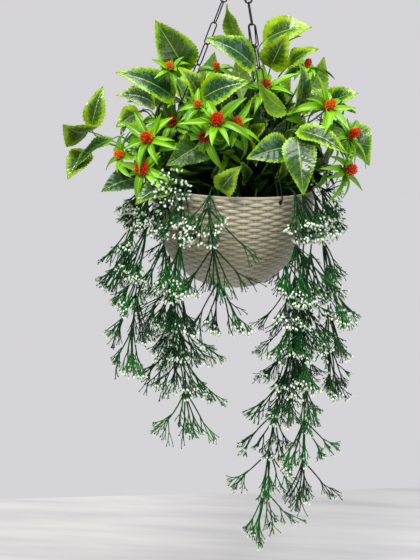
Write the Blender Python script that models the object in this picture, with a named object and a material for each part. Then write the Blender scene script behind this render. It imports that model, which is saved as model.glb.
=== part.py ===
# Hanging basket of artificial foliage: a woven-look bowl on three link chains and a hook,
# filled with foam that holds coleus, berry-headed lance leaves and trailing sprays.
# Metres, +Z up. The origin is the inner top of the hook, where it rests on its rail.
import math
import random

import bmesh
import bpy
from mathutils import Matrix, Vector
from mathutils.bvhtree import BVHTree

MM = 0.001
SEED = 25
GAP = 0.3 * MM

# Driving sizes of the bowl
RIM_Z = -395 * MM
RIM_RADIUS = 120 * MM
BOWL_DEPTH = 150 * MM
BAND_HEIGHT = 4 * MM
WALL = 3 * MM
STRANDS_ROUND = 44
STRAND_ROWS = 16
WEAVE_RELIEF = 0.8 * MM
FOOT_RADIUS = 27 * MM
FOOT_BAND = 3 * MM
INNER_SHARES = (0, 0.25, 0.5, 0.75, 0.9, 0.96)

# Chains and hook
CHAIN_AZIMUTHS = {"chain_left": 184, "chain_front": 304, "chain_back": 64}
LINKS = 11
CHAIN_WIRE = 0.9 * MM
LINK_HALF_WIDTH = 4.5 * MM
LINK_SINK = 0.25 * MM
RIM_LINK_RADIUS = 118 * MM
RIM_LINK_DROP = 3.24 * MM
RIM_HOLE_RADIUS = 3.6 * MM
RIM_HOLE_DROP = 9 * MM
HOOK_WIRE = 2 * MM
CROOK_RADIUS = 16 * MM
EYE_RADIUS = 10.5 * MM
EYE_Z = -70.5 * MM
EYE_GAP = 0.7 * MM
EYE_PLACES = {"chain_left": -26, "chain_front": 0, "chain_back": 26}

# Foam and what stands in it
FOAM_DROP = 12 * MM
FOAM_SIDE_GAP = 2 * MM
STEM_DEPTH = 22 * MM
STEM_RADIUS = 1.5 * MM
HOLE_CLEARANCE = 0.35 * MM
HOLE_SIDES = 4
COLEUS_RING = 56 * MM
BERRY_RING = 32 * MM
TRAIL_RING = 90 * MM

# Blades
LEAF_THICKNESS = 0.8 * MM
PETIOLE_RADIUS = 1.1 * MM
TOOTH = 0.07
RIB_SHARES = (0.3, 0.55, 0.8)
SMALL_LEAF = 45 * MM
TEST_MARGIN = 1.1 * MM
WHORL_LEAVES = 7
LANCE_LENGTH = 46 * MM
LANCE_WIDTH = 9.5 * MM
LANCE_WIDEST = 0.42
LANCE_KEEL = 1.1 * MM
LANCE_DROOP = 0.35
LEAST_OPEN = 0.93
COLLAR = 1.8 * MM
HUB_RADIUS = 2.4 * MM
HUB_HALF_HEIGHT = 1.1 * MM
HEAD_RADIUS = 8.5 * MM
HEAD_DIP = 0.74
BRANCH_RADIUS = 1.2 * MM
TWIG_RADIUS = 0.9 * MM
TRAIL_RADIUS = 1.4 * MM
BUD_RADIUS = 1.6 * MM
BUD_SHARE = 0.92
KNEE = 0.84
KNEE_HALF = 2.5 * MM
BEND_STEP = 0.03 * MM
BOWL_MARGIN = 2.5 * MM
CHAIN_MARGIN = 7.5 * MM

UP = Vector((0, 0, 1))
VIEWER = Vector((0, -1, 0.25))
SKY = Vector((0, -0.35, 1))
SLANT = Vector((0, -0.75, 0.7))
LEFTWARD = Vector((-0.75, -0.6, 0.2))
RIGHTWARD = Vector((0.75, -0.6, 0.2))


def spot(x, y, z):
    """A place given in millimetres from the middle of the rim."""
    return Vector((x * MM, y * MM, RIM_Z + z * MM))


# Coleus: each stem has its crown, then its leaves as base, tip, width and the way the top faces.
COLEUS = [
    ((-62, -42, 118), [
        ((-70, -40, 160), (-115, -65, 230), 58, VIEWER),
        ((-85, -55, 125), (-165, -80, 160), 50, SLANT),
        ((-50, -60, 125), (-80, -85, 170), 40, RIGHTWARD),
        ((-55, -75, 130), (15, -100, 155), 50, SLANT),
    ]),
    ((-118, -32, 92), [
        ((-115, -30, 115), (-165, -55, 130), 42, SLANT),
        ((-135, -55, 105), (-165, -75, 85), 34, VIEWER),
        ((-132, -25, 105), (-160, -60, 72), 26, LEFTWARD),
    ]),
    ((-195, -8, 66), [
        ((-212, -10, 70), (-240, -62, 82), 62, Vector((-0.35, -0.75, 0.1))),
        ((-215, -10, 45), (-240, -45, 8), 40, VIEWER),
        ((-210, 0, 75), (-195, 10, 135), 34, VIEWER),
        ((-170, -28, 65), (-225, -30, 15), 34, SKY),
    ]),
    ((22, -5, 150), [
        ((25, -20, 170), (-45, -45, 210), 50, SLANT),
        ((10, 20, 195), (-20, -20, 255), 36, Vector((-0.9, 0.2, 0.5))),
        ((30, 25, 170), (75, 75, 215), 52, Vector((0.2, 0.5, 0.9))),
    ]),
    ((48, 8, 150), [
        ((35, 20, 205), (100, -10, 230), 56, Vector((0.1, -0.7, 0.55))),
        ((45, -15, 170), (65, -45, 220), 46, VIEWER),
        ((72, 0, 172), (110, -25, 200), 34, SLANT),
        ((55, 5, 150), (95, -30, 172), 40, SKY),
    ]),
    ((80, -42, 90), [
        ((80, -45, 105), (90, -65, 182), 44, RIGHTWARD),
        ((85, -35, 100), (130, -50, 125), 36, SLANT),
        ((75, -60, 105), (25, -85, 155), 44, LEFTWARD),
        ((85, -88, 82), (95, -135, 8), 48, VIEWER),
        ((88, -78, 85), (160, -110, 60), 38, SLANT),
    ]),
    ((125, 5, 92), [
        ((130, 0, 115), (168, -30, 142), 46, SLANT),
        ((155, 12, 88), (195, -28, 42), 56, Vector((0.3, -0.9, 0.3))),
        ((110, -20, 112), (132, -52, 130), 30, SLANT),
    ]),
    ((20, -60, 45), [
        ((65, -85, 65), (5, -135, 62), 50, SLANT),
        ((-15, -112, 5), (12, -148, 45), 36, VIEWER),
        ((-35, -70, 70), (-90, -118, 40), 50, VIEWER),
    ]),
    ((-78, -72, 18), [
        ((-85, -110, 12), (-130, -142, -8), 36, SLANT),
        ((-130, -75, 14), (-180, -110, 0), 44, SLANT),
    ]),
    ((-70, 62, 95), [
        ((-75, 65, 110), (-120, 105, 160), 56, Vector((-0.4, 0.4, 0.8))),
        ((-90, 55, 95), (-165, 75, 110), 52, Vector((-0.1, 0.6, 0.9))),
        ((-60, 85, 90), (-55, 150, 100), 50, Vector((0, 0.4, 0.9))),
        ((-60, 60, 120), (-35, 90, 185), 46, Vector((0.3, 0.9, 0.1))),
    ]),
    ((8, 72, 88), [
        ((10, 88, 98), (20, 158, 135), 56, Vector((0, 0.2, 1))),
        ((0, 85, 78), (-10, 150, 50), 44, Vector((-0.2, 0.8, 0.6))),
        ((12, 60, 110), (5, 95, 175), 48, Vector((0.1, 0.9, -0.1))),
    ]),
    ((98, 55, 105), [
        ((100, 60, 120), (130, 85, 185), 50, Vector((0.5, 0.8, 0.2))),
        ((110, 50, 100), (180, 70, 110), 52, Vector((0.1, 0.4, 0.9))),
        ((90, 65, 100), (80, 130, 160), 42, Vector((-0.3, 0.8, 0.5))),
    ]),
]

# Berry stems: a fork, then each head's place and the way it points.
BERRIES = [
    ((-28, -70, 50), [
        ((-25, -125, 105), (0.1, -0.8, 0.6)),
        ((-42, -112, 74), (-0.3, -0.9, -0.1)),
        ((2, -112, 98), (0.6, -0.6, 0.5)),
    ]),
    ((-92, -66, 30), [
        ((-120, -105, 75), (-0.3, -0.8, 0.5)),
        ((-125, -120, 35), (-0.2, -0.9, 0.1)),
        ((-160, -95, 50), (-0.8, -0.5, 0.3)),
    ]),
    ((-70, -45, 70), [
        ((-90, -62, 95), (-0.3, -0.8, 0.5)),
        ((-95, -70, 170), (-0.3, -0.5, 0.8)),
    ]),
    ((-18, -40, 95), [
        ((-52, -92, 135), (-0.2, -0.7, 0.6)),
        ((-30, -30, 172), (-0.1, -0.2, 1)),
    ]),
    ((62, -20, 90), [
        ((42, -38, 152), (0, -0.6, 0.8)),
        ((100, -15, 180), (0.3, -0.1, 0.9)),
        ((120, -62, 138), (0.5, -0.5, 0.7)),
    ]),
    ((118, -35, 38), [
        ((165, -50, 85), (0.7, -0.4, 0.6)),
        ((162, -75, 38), (0.9, -0.4, 0.1)),
    ]),
    ((-100, 35, 50), [
        ((-150, 60, 70), (-0.8, 0.4, 0.4)),
        ((-125, 95, 30), (-0.5, 0.8, 0.1)),
    ]),
    ((-5, 80, 55), [
        ((-25, 125, 85), (-0.2, 0.8, 0.5)),
        ((45, 130, 55), (0.3, 0.9, 0.2)),
    ]),
    ((92, 45, 45), [
        ((150, 45, 75), (0.9, 0.2, 0.4)),
    ]),
]

# Trailing strands: azimuth at the rim in degrees, lower end, number of sprays.
TRAILS = [
    (192, (-142, -62, -82), 2),
    (207, (-135, -95, -195), 4),
    (223, (-58, -95, -290), 5),
    (239, (-75, -118, -215), 4),
    (256, (-15, -128, -118), 2),
    (312, (95, -108, -248), 5),
    (319, (118, -98, -390), 6),
    (331, (66, -72, -452), 7),
    (347, (150, -50, -225), 4),
    (54, (102, 108, -290), 5),
    (128, (-90, 115, -255), 4),
]
TRAIL_TOP = 10 * MM
TRAIL_OUT = 134 * MM


# Shapes: each is a list of points and a list of faces

def frames_along(path):
    """A steady pair of cross directions at each point of a path."""
    pairs = []
    side = None
    for index, point in enumerate(path):
        before = path[max(index - 1, 0)]
        after = path[min(index + 1, len(path) - 1)]
        along = (after - before).normalized()
        if side is None:
            guide = Vector((0.3, 1, 0.2)) if abs(along.z) > 0.5 else UP
            side = along.cross(guide).normalized()
        side = (side - along * side.dot(along)).normalized()
        pairs.append((side, along.cross(side)))
    return pairs


def tube(path, radii, sides, turn=0.0):
    """A closed tube through a path, with flat ends."""
    points = []
    faces = []
    for (side, other), point, radius in zip(frames_along(path), path, radii):
        for step in range(sides):
            angle = math.tau * step / sides + turn
            points.append(point + side * radius * math.cos(angle) + other * radius * math.sin(angle))
    for ring in range(len(path) - 1):
        low = ring * sides
        high = low + sides
        for step in range(sides):
            after = (step + 1) % sides
            faces.append((low + step, low + after, high + after, high + step))
    last = (len(path) - 1) * sides
    faces.append(tuple(last + step for step in range(sides)))
    faces.append(tuple(reversed(range(sides))))
    return points, faces


def cross_pair(way):
    """Two directions square to the given one, turning the right-handed way round it."""
    guide = UP if abs(way.normalized().z) < 0.8 else Vector((0, 1, 0))
    side = way.cross(guide).normalized()
    return side, way.normalized().cross(side)


class Skin:
    """One closed surface that grows: rings of three points pushed along paths, with shoots from its sides."""

    def __init__(self):
        self.points = []
        self.faces = []

    def point(self, place):
        self.points.append(place.copy())
        return len(self.points) - 1

    def begin(self, centre, way, radius):
        side, other = cross_pair(way)
        ring = []
        for step in range(3):
            angle = math.tau * step / 3
            ring.append(self.point(centre + (side * math.cos(angle) + other * math.sin(angle)) * radius))
        self.faces.append(tuple(reversed(ring)))
        return ring

    def push(self, ring, centre, way, radius):
        """Grows a ring to a new place without twisting it; gives the new ring and its side faces."""
        side, other = cross_pair(way)
        middle = sum((self.points[corner] for corner in ring), Vector()) / 3
        swing = Vector((0, 0))
        for step, corner in enumerate(ring):
            offset = self.points[corner] - middle
            flat = Vector((offset.dot(side), offset.dot(other)))
            angle = math.atan2(flat.y, flat.x) - math.tau * step / 3
            swing += Vector((math.cos(angle), math.sin(angle))) * flat.length
        phase = math.atan2(swing.y, swing.x)
        places = []
        for step in range(3):
            angle = phase + math.tau * step / 3
            places.append(centre + (side * math.cos(angle) + other * math.sin(angle)) * radius)
        return self.join(ring, places)

    def join(self, ring, places):
        fresh = [self.point(place) for place in places]
        sides = []
        for step in range(3):
            after = (step + 1) % 3
            sides.append((len(self.faces), len(self.faces) + 1))
            self.faces.append((ring[step], ring[after], fresh[after]))
            self.faces.append((ring[step], fresh[after], fresh[step]))
        return fresh, sides

    def shoot(self, sides, heading):
        """Opens the side that looks most along a heading, and gives the ring of its opening."""
        def facing(pair):
            a, b, c = (self.points[corner] for corner in self.faces[pair[0]])
            return (b - a).cross(c - a).normalized().dot(heading)

        best = max(sides, key=facing)
        sides.remove(best)
        ring = list(self.faces[best[1]])
        self.faces[best[1]] = None
        return ring

    def tip(self, ring, place):
        apex = self.point(place)
        for step in range(3):
            self.faces.append((ring[step], ring[(step + 1) % 3], apex))

    def bridge(self, low, high, centre, axis):
        """Joins a ring of few points to a ring of more, going round by angle."""
        side, other = cross_pair(axis)

        def angle_of(corner):
            offset = self.points[corner] - centre
            return math.atan2(offset.dot(other), offset.dot(side)) % math.tau

        low = sorted(low, key=angle_of)
        zero = angle_of(low[0])
        high = sorted(high, key=lambda corner: (angle_of(corner) - zero) % math.tau)
        events = [((angle_of(corner) - zero) % math.tau, 1, corner) for corner in high]
        events += [(angle_of(corner) - zero, 0, corner) for corner in low[1:]]
        events.append((math.tau, 0, low[0]))
        near = low[0]
        far = high[-1]
        for turned, is_high, corner in sorted(events):
            self.faces.append((near, corner, far))
            if is_high:
                far = corner
            else:
                near = corner

    def shape(self):
        return self.points, [face for face in self.faces if face is not None]


def leaf_axes(base, tip, face):
    along = (tip - base).normalized()
    across = along.cross(face).normalized()
    return along, across, across.cross(along)


def ovate(share):
    """Half width of a coleus leaf at a share of its length: broad and round at the base."""
    return math.sin(math.pi * share ** 0.62) ** 0.85


def leaf_surface(base, tip, width, face):
    """Gives the function that maps share along and share across to a place on the leaf."""
    length = (tip - base).length
    along, across, normal = leaf_axes(base, tip, face)

    def place(share, side):
        half = width / 2 * ovate(share)
        lift = length * 0.1 * math.sin(math.pi * share) + half * 0.22 * min(abs(side), 1)
        return base + along * share * length + across * half * side + normal * lift

    return place, normal


def blade_rows(base, tip, width, face, start, teeth):
    """The middle row of a blade and its two toothed edges, as pairs of share and place."""
    place, normal = leaf_surface(base, tip, width, face)
    steps = 2 * teeth
    shares = [start + (1 - start) * (step + 0.7) / (steps + 0.2) for step in range(steps)]
    ribs = RIB_SHARES if teeth > 3 else RIB_SHARES[::2]
    middle = [(share, place(share, 0)) for share in ribs if share > start]
    middle.append((1.0, place(1, 0)))
    edges = []
    for side in (-1, 1):
        edge = []
        for step, share in enumerate(shares):
            reach = 1 + TOOTH if step % 2 else 1 - TOOTH
            edge.append((share, place(share, 0).lerp(place(share, side), reach)))
        edges.append(edge)
    return middle, edges, normal


def grow_blade(skin, ring, base, tip, width, face, thickness=LEAF_THICKNESS):
    """Grows a toothed, arched blade from the end of its stalk, split alike on both faces."""
    teeth = 4 if width > SMALL_LEAF else 3
    middle, edges, normal = blade_rows(base, tip, width, face, 0.02, teeth)
    along, across, normal = leaf_axes(base, tip, face)
    radius = PETIOLE_RADIUS
    corners = [base + across * radius + normal * thickness / 2,
               base - normal * radius,
               base - across * radius + normal * thickness / 2]
    best = min(range(3), key=lambda shift: sum(
        (skin.points[ring[(step + shift) % 3]] - corners[step]).length for step in range(3)))
    ring = [ring[(step + best) % 3] for step in range(3)]
    (right_base, under_base, left_base), sides = skin.join(ring, corners)
    layers = []
    for lift in (thickness / 2, -thickness / 2):
        tip_corner = skin.point(middle[-1][1] + normal * lift)
        ribs = [(share, skin.point(place + normal * lift)) for share, place in middle[:-1]]
        rims = [[(share, skin.point(place + normal * lift)) for share, place in edge] for edge in edges]
        layers.append((tip_corner, ribs, rims))
    for (tip_corner, ribs, rims), bases in zip(layers, ((left_base, right_base), (under_base, under_base))):
        if bases[0] != bases[1]:
            skin.faces.append((bases[0], bases[1], ribs[0][1]))
        for edge, base_corner in zip(rims, bases):
            zip_rows(skin, [(0, base_corner)] + edge + [(1, tip_corner)],
                     ribs + [(1, tip_corner)])
    top, bottom = layers
    for side, base_corner in enumerate((left_base, right_base)):
        upper = [base_corner] + [corner for share, corner in top[2][side]] + [top[0]]
        lower = [under_base] + [corner for share, corner in bottom[2][side]] + [bottom[0]]
        for step in range(len(upper) - 1):
            skin.faces.append((upper[step], upper[step + 1], lower[step + 1]))
            skin.faces.append((upper[step], lower[step + 1], lower[step]))


def zip_rows(skin, edge, middle):
    """Fills between two rows of points with triangles, always from the row that is behind."""
    a = 0
    b = 0
    while a < len(edge) - 1 or b < len(middle) - 1:
        on_edge = b == len(middle) - 1 or (a < len(edge) - 1 and edge[a + 1][0] <= middle[b + 1][0])
        near = (edge[a][1], middle[b][1])
        if on_edge:
            a += 1
            third = edge[a][1]
        else:
            b += 1
            third = middle[b][1]
        if third not in near:
            skin.faces.append((near[0], third, near[1]))


def blade_test(base, tip, width, face, first):
    """The room that a blade needs, from a first share of its length to its tip, as two sheets."""
    place, normal = leaf_surface(base, tip, width, face)
    points = []
    faces = []
    for lift in (TEST_MARGIN, -TEST_MARGIN):
        start = len(points)
        for share in (first, 0.3, 0.55, 0.8):
            for side in (-1.12, 0, 1.12):
                points.append(place(share, side) + normal * lift)
        points.append(place(1, 0) + (tip - base).normalized() * TEST_MARGIN + normal * lift)
        for row in range(3):
            low = start + row * 3
            faces += [(low, low + 1, low + 4, low + 3), (low + 1, low + 2, low + 5, low + 4)]
        faces += [(start + 9, start + 10, start + 12), (start + 10, start + 11, start + 12)]
    return points, faces


def bezier(a, b, c, d, steps):
    points = []
    for step in range(steps + 1):
        t = step / steps
        s = 1 - t
        points.append(a * s ** 3 + b * 3 * s * s * t + c * 3 * s * t * t + d * t ** 3)
    return points


def whorl_frame(axis):
    side = axis.cross(Vector((0.21, 0.33, 0.92))).normalized()
    return side, axis.cross(side)


def lance_path(foot, axis, number, open_angle, scale):
    """Where one lance leaf of a whorl runs: places at shares of its length, and its cross direction."""
    side, other = whorl_frame(axis)
    angle = math.tau * (number + 0.5) / WHORL_LEAVES
    outward = side * math.cos(angle) + other * math.sin(angle)
    across = axis.cross(outward).normalized()

    def place(share):
        turn = open_angle + LANCE_DROOP * share
        along = outward * math.sin(turn) + axis * math.cos(turn)
        return foot + outward * HUB_RADIUS + along * LANCE_LENGTH * scale * share

    return place, across


def grow_whorl(skin, ring, head):
    """Opens a branch's end into a small hub whose sides grow out as three-sided lance leaves."""
    foot = head["foot"]
    axis = head["axis"]
    side, other = whorl_frame(axis)
    levels = []
    for level, shift in ((-1, 0.5), (1, 0.0)):
        corners = []
        for number in range(WHORL_LEAVES):
            angle = math.tau * (number + shift) / WHORL_LEAVES
            reach = side * math.cos(angle) + other * math.sin(angle)
            corners.append(skin.point(foot + axis * HUB_HALF_HEIGHT * level + reach * HUB_RADIUS))
        levels.append(corners)
    low, high = levels
    ring, sides = skin.push(ring, foot - axis * (HUB_HALF_HEIGHT + COLLAR), axis, BRANCH_RADIUS)
    skin.bridge(ring, low, foot, axis)
    skin.faces.append(tuple(high))
    for number, (open_angle, scale) in enumerate(head["leaves"]):
        after = (number + 1) % WHORL_LEAVES
        skin.faces.append((low[number], low[after], high[after]))
        root = (high[number], low[number], high[after])
        if scale is None:
            skin.faces.append(root)
            continue
        place, across = lance_path(foot, axis, number, open_angle, scale)
        middle = place(LANCE_WIDEST)
        up = across.cross(place(1) - foot).normalized()
        if up.dot(axis) < 0:
            up = -up
        half = across * LANCE_WIDTH / 2 * scale
        keel = middle - up * LANCE_KEEL
        fresh = skin.join(list(root), [middle - half, keel, middle + half])[0]
        skin.tip(fresh, place(1))


def lance_test(foot, axis, number, open_angle, scale):
    """The room that one lance leaf needs, as a thin strip on its upper side and one below."""
    place, across = lance_path(foot, axis, number, open_angle, scale)
    half = LANCE_WIDTH / 2 * scale
    points = []
    for share, width in ((0.18, 0.7), (LANCE_WIDEST, 1.2), (1.03, 0.2)):
        middle = place(share)
        up = across.cross(place(1) - foot).normalized()
        for lift in (-1, 1):
            points.append(middle - across * half * width + up * LANCE_KEEL * lift)
            points.append(middle + across * half * width + up * LANCE_KEEL * lift)
    faces = []
    for step in (0, 4):
        faces += [(step, step + 1, step + 5, step + 4), (step + 2, step + 3, step + 7, step + 6)]
        faces += [(step, step + 2, step + 6, step + 4), (step + 1, step + 3, step + 7, step + 5)]
    return points, faces


# Room: what has been placed so far, so that nothing crosses another node

class Room:
    """Holds a test shape for each thing placed, with its owner and its kind."""

    def __init__(self):
        self.shapes = []

    def measure(self, shape):
        points, faces = shape
        low = [min(point[axis] for point in points) for axis in range(3)]
        high = [max(point[axis] for point in points) for axis in range(3)]
        return BVHTree.FromPolygons(points, faces), low, high

    def add(self, owner, kind, shape):
        self.shapes.append((owner, kind, self.measure(shape)))

    def free(self, owner, shape, own_kinds=()):
        """True where a shape meets nothing of another owner, nor the given kinds of its own."""
        tree, low, high = self.measure(shape)
        for other, kind, (other_tree, other_low, other_high) in self.shapes:
            if other == owner and kind not in own_kinds:
                continue
            if any(low[axis] > other_high[axis] or high[axis] < other_low[axis] for axis in range(3)):
                continue
            if tree.overlap(other_tree):
                return False
        return True


def random_push(draw):
    return Vector((draw.uniform(-1, 1), draw.uniform(-1, 1), draw.uniform(-1, 1)))


def shaken(direction, amount, draw):
    """The direction turned by up to the given amount."""
    return (direction.normalized() + random_push(draw) * amount).normalized()


def wall_radius(depth):
    """Outer radius of the bowl at a depth below the rim."""
    share = min(max(depth / BOWL_DEPTH, 0), 1)
    return FOOT_RADIUS + (RIM_RADIUS - FOOT_RADIUS) * (1 - share ** 2.4) ** 0.62


def chain_ends(name):
    """Upper and lower arc centres of a chain, and its first and last cross directions."""
    azimuth = math.radians(CHAIN_AZIMUTHS[name])
    outward = Vector((math.cos(azimuth), math.sin(azimuth), 0))
    lower = outward * RIM_LINK_RADIUS + UP * (RIM_Z - RIM_LINK_DROP)
    turn = math.radians(EYE_PLACES[name])
    wire = Vector((math.sin(turn), 0, -math.cos(turn))) * EYE_RADIUS + UP * EYE_Z
    along = (lower - wire).normalized()
    upper = wire + along * (LINK_HALF_WIDTH - CHAIN_WIRE - HOOK_WIRE - EYE_GAP)
    tangent = Vector((math.cos(turn), 0, math.sin(turn)))
    first = tangent.cross(along).normalized()
    last = (outward - along * outward.dot(along)).normalized()
    return upper, lower, first, last


def add_obstacles(room):
    """The bowl and the chains, a little larger than they are."""
    depths = [BOWL_DEPTH * share for share in (0, 0.3, 0.55, 0.75, 0.9, 1)]
    path = [Vector((0, 0, RIM_Z - depth)) for depth in depths]
    points, faces = tube(path, [wall_radius(depth) + BOWL_MARGIN for depth in depths], 20)
    open_top = faces[:-1]
    room.add("bowl", "wall", (points, open_top))
    for name in CHAIN_AZIMUTHS:
        upper, lower, first, last = chain_ends(name)
        reach = (lower - upper).normalized() * CHAIN_MARGIN
        room.add(name, "chain", tube([upper - reach, lower + reach], [CHAIN_MARGIN] * 2, 8))


# Plans: every stem, leaf, head and spray gets its place before any solid is made

def hole_places(crowns, ring):
    """Holes evenly round a ring, in the order in which the crowns stand round the bowl."""
    angles = [math.atan2(crown[1], crown[0]) for crown in crowns]
    order = sorted(range(len(crowns)), key=lambda number: angles[number])
    step = math.tau / len(crowns)
    across = sum(math.sin(angles[number] - place * step) for place, number in enumerate(order))
    ahead = sum(math.cos(angles[number] - place * step) for place, number in enumerate(order))
    offset = math.atan2(across, ahead)
    holes = [None] * len(crowns)
    for place, number in enumerate(order):
        angle = place * step + offset
        holes[number] = Vector((ring * math.cos(angle), ring * math.sin(angle), RIM_Z - FOAM_DROP))
    return holes


def fit_stem(room, owner, hole, crown, draw):
    """A stem from its depth in the foam up to its crown, bent aside until it is clear of the others."""
    reach = (crown - hole).length
    for attempt in range(60):
        bulge = random_push(draw) * 0.6 * MM * attempt
        bulge.z = 0
        path = bezier(hole, hole + UP * reach * 0.45 + bulge, crown - UP * reach * 0.2 + bulge * 0.5, crown, 5)
        shape = tube(path, [STEM_RADIUS * 1.5] * len(path), 4)
        if room.free(owner, shape):
            room.add(owner, "stem", shape)
            return [hole - UP * STEM_DEPTH] + path
    raise ValueError("no room for " + owner)


def point_at(path, share):
    """The place at a share of a path's length."""
    lengths = [(b - a).length for a, b in zip(path, path[1:])]
    left = sum(lengths) * share
    for a, b, length in zip(path, path[1:], lengths):
        if left <= length:
            return a.lerp(b, left / length)
        left -= length
    return path[-1].copy()


def plan_leaf(room, owner, start, wanted, draw):
    """Places one coleus leaf with its stalk, turning it a little where it would cross something."""
    base, tip, width, face = wanted
    base = spot(*base)
    tip = spot(*tip)
    for attempt in range(120):
        shrink = 1 - 0.002 * attempt
        foot = base + random_push(draw) * 0.4 * MM * attempt
        end = foot + shaken(tip - base, 0.007 * attempt, draw) * (tip - base).length * shrink
        upward = shaken(face, 0.012 * attempt, draw)
        broad = width * MM * shrink
        lift = (foot - start).length * 0.35
        away = (end - foot).normalized()
        leave = (UP * 0.4 + (foot - start).normalized() * 0.8) * lift
        stalk = bezier(start, start + leave, foot - away * lift, foot, 3)
        blade = blade_test(foot, end, broad, upward, 0.1)
        full_blade = blade_test(foot, end, broad, upward, 0.03)
        whole = tube(stalk, [PETIOLE_RADIUS * 1.6] * 4, 3)
        arm = tube([start.lerp(stalk[1], 0.3)] + stalk[1:], [PETIOLE_RADIUS * 1.6] * 4, 3)
        if not room.free(owner, whole) or not room.free(owner, full_blade):
            continue
        if room.free(owner, blade, ("blade", "stem", "stalk")) and room.free(owner, arm, ("blade", "stalk")):
            room.add(owner, "blade", blade)
            room.add(owner, "stalk", arm)
            room.add(owner, "whole", whole)
            room.add(owner, "whole", full_blade)
            return foot, end, broad, upward, stalk
    return None


def plan_coleus(room, draw):
    plans = []
    holes = hole_places([crown for crown, leaves in COLEUS], COLEUS_RING)
    for number, (crown, leaves) in enumerate(COLEUS):
        owner = f"coleus_{number + 1}"
        path = fit_stem(room, owner, holes[number], spot(*crown), draw)
        plans.append({"name": owner, "stem": path, "hole": holes[number], "leaves": []})
    for plan, (crown, leaves) in zip(plans, COLEUS):
        for order, wanted in enumerate(leaves):
            share = 0.96 - 0.3 * order / len(leaves)
            found = plan_leaf(room, plan["name"], point_at(plan["stem"], share), wanted, draw)
            if found is None:
                print("no room for leaf", order, "of", plan["name"])
            else:
                plan["leaves"].append((share, found))
    return plans


def plan_berries(room, draw):
    plans = []
    holes = hole_places([fork for fork, heads in BERRIES], BERRY_RING)
    for number, (fork, heads) in enumerate(BERRIES):
        owner = f"berry_stem_{number + 1}"
        path = fit_stem(room, owner, holes[number], spot(*fork), draw)
        plan = {"name": owner, "stem": path, "hole": holes[number], "heads": []}
        for order, (place, axis) in enumerate(heads):
            share = 0.95 - 0.38 * order / len(heads)
            start = point_at(path, share)
            found = plan_head(room, owner, start, spot(*place), Vector(axis).normalized(), draw)
            if found is None:
                print("no room for head", order, "of", owner)
            else:
                found["share"] = share
                plan["heads"].append(found)
        plans.append(plan)
    return plans


def plan_head(room, owner, start, place, axis, draw):
    """Places one head, its branch and the lance leaves under it."""
    own = ("head", "stem", "stalk")
    for attempt in range(90):
        centre = place + random_push(draw) * 0.7 * MM * attempt
        way = shaken(axis, 0.008 * attempt, draw)
        foot = centre - way * (HEAD_RADIUS + HUB_HALF_HEIGHT + GAP)
        reach = (foot - start).length
        leave = (UP * 0.4 + (foot - start).normalized() * 0.8) * reach * 0.3
        branch = bezier(start, start + leave, foot - way * reach * 0.35, foot, 4)
        arm = tube([start.lerp(branch[1], 0.4)] + branch[1:], [BRANCH_RADIUS * 1.5] * 5, 4)
        core = [centre - way * HEAD_RADIUS, centre, centre + way * HEAD_RADIUS]
        ball = tube(core, [HEAD_RADIUS * 0.7, HEAD_RADIUS * 1.12, HEAD_RADIUS * 0.7], 7)
        whole = tube(branch, [BRANCH_RADIUS * 1.5] * 5, 4)
        if not room.free(owner, whole) or not room.free(owner, ball, own + ("lance",)):
            continue
        if room.free(owner, arm, ("head", "stalk", "lance")):
            break
    else:
        return None
    room.add(owner, "stalk", arm)
    room.add(owner, "whole", whole)
    leaves = []
    for number in range(WHORL_LEAVES):
        chosen = (1.0, None)
        for attempt in range(14):
            wished = draw.uniform(0.95, 1.35) + (attempt % 3 - 1) * 0.07 * attempt
            open_angle = max(wished, LEAST_OPEN)
            scale = draw.uniform(0.75, 1.1) * (1 - 0.035 * attempt)
            shape = lance_test(foot, way, number, open_angle, scale)
            if room.free(owner, shape, own + ("lance",)):
                chosen = (open_angle, scale)
                room.add(owner, "lance", shape)
                break
        leaves.append(chosen)
    room.add(owner, "head", ball)
    return {"centre": centre, "axis": way, "foot": foot, "branch": branch, "leaves": leaves}


def trail_path(azimuth, end, sprays):
    """A strand: out of its hole in the foam, over the rim and down to its end."""
    outward = Vector((math.cos(azimuth), math.sin(azimuth), 0))
    hole = outward * TRAIL_RING + UP * (RIM_Z - FOAM_DROP)
    crest = outward * (RIM_RADIUS - 2 * MM) + UP * (RIM_Z + TRAIL_TOP)
    fall = outward * TRAIL_OUT + UP * (RIM_Z - 14 * MM)
    over = bezier(hole, hole + UP * 16 * MM, crest - outward * 12 * MM + UP * 2 * MM, crest, 3)
    lip = bezier(crest, crest + outward * 9 * MM, fall + UP * 12 * MM, fall, 2)[1:]
    drop = fall.z - end.z
    hang = bezier(fall, fall - UP * drop * 0.4, end + UP * drop * 0.35, end, sprays)[1:]
    return hole, over, lip + hang


def plan_twig(room, owner, start, way, length, draw, own_kinds, kept):
    """Places one twig, turned a little where it would cross something; it blocks room up to a share of it."""
    for attempt in range(20):
        heading = shaken(way, 0.04 * attempt, draw)
        end = start + heading * length * (1 - 0.02 * attempt)
        test = tube([start.lerp(end, 0.12), start.lerp(end, 1.03)], [1.6 * MM, 2.1 * MM], 3)
        if room.free(owner, test, own_kinds):
            room.add(owner, "whole", tube([start, start.lerp(end, 1.03)], [1.6 * MM, 2.1 * MM], 3))
            room.add(owner, "twig", tube([start.lerp(end, 0.12), start.lerp(end, kept)], [1.6 * MM] * 2, 3))
            return start, end
    return None


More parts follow.
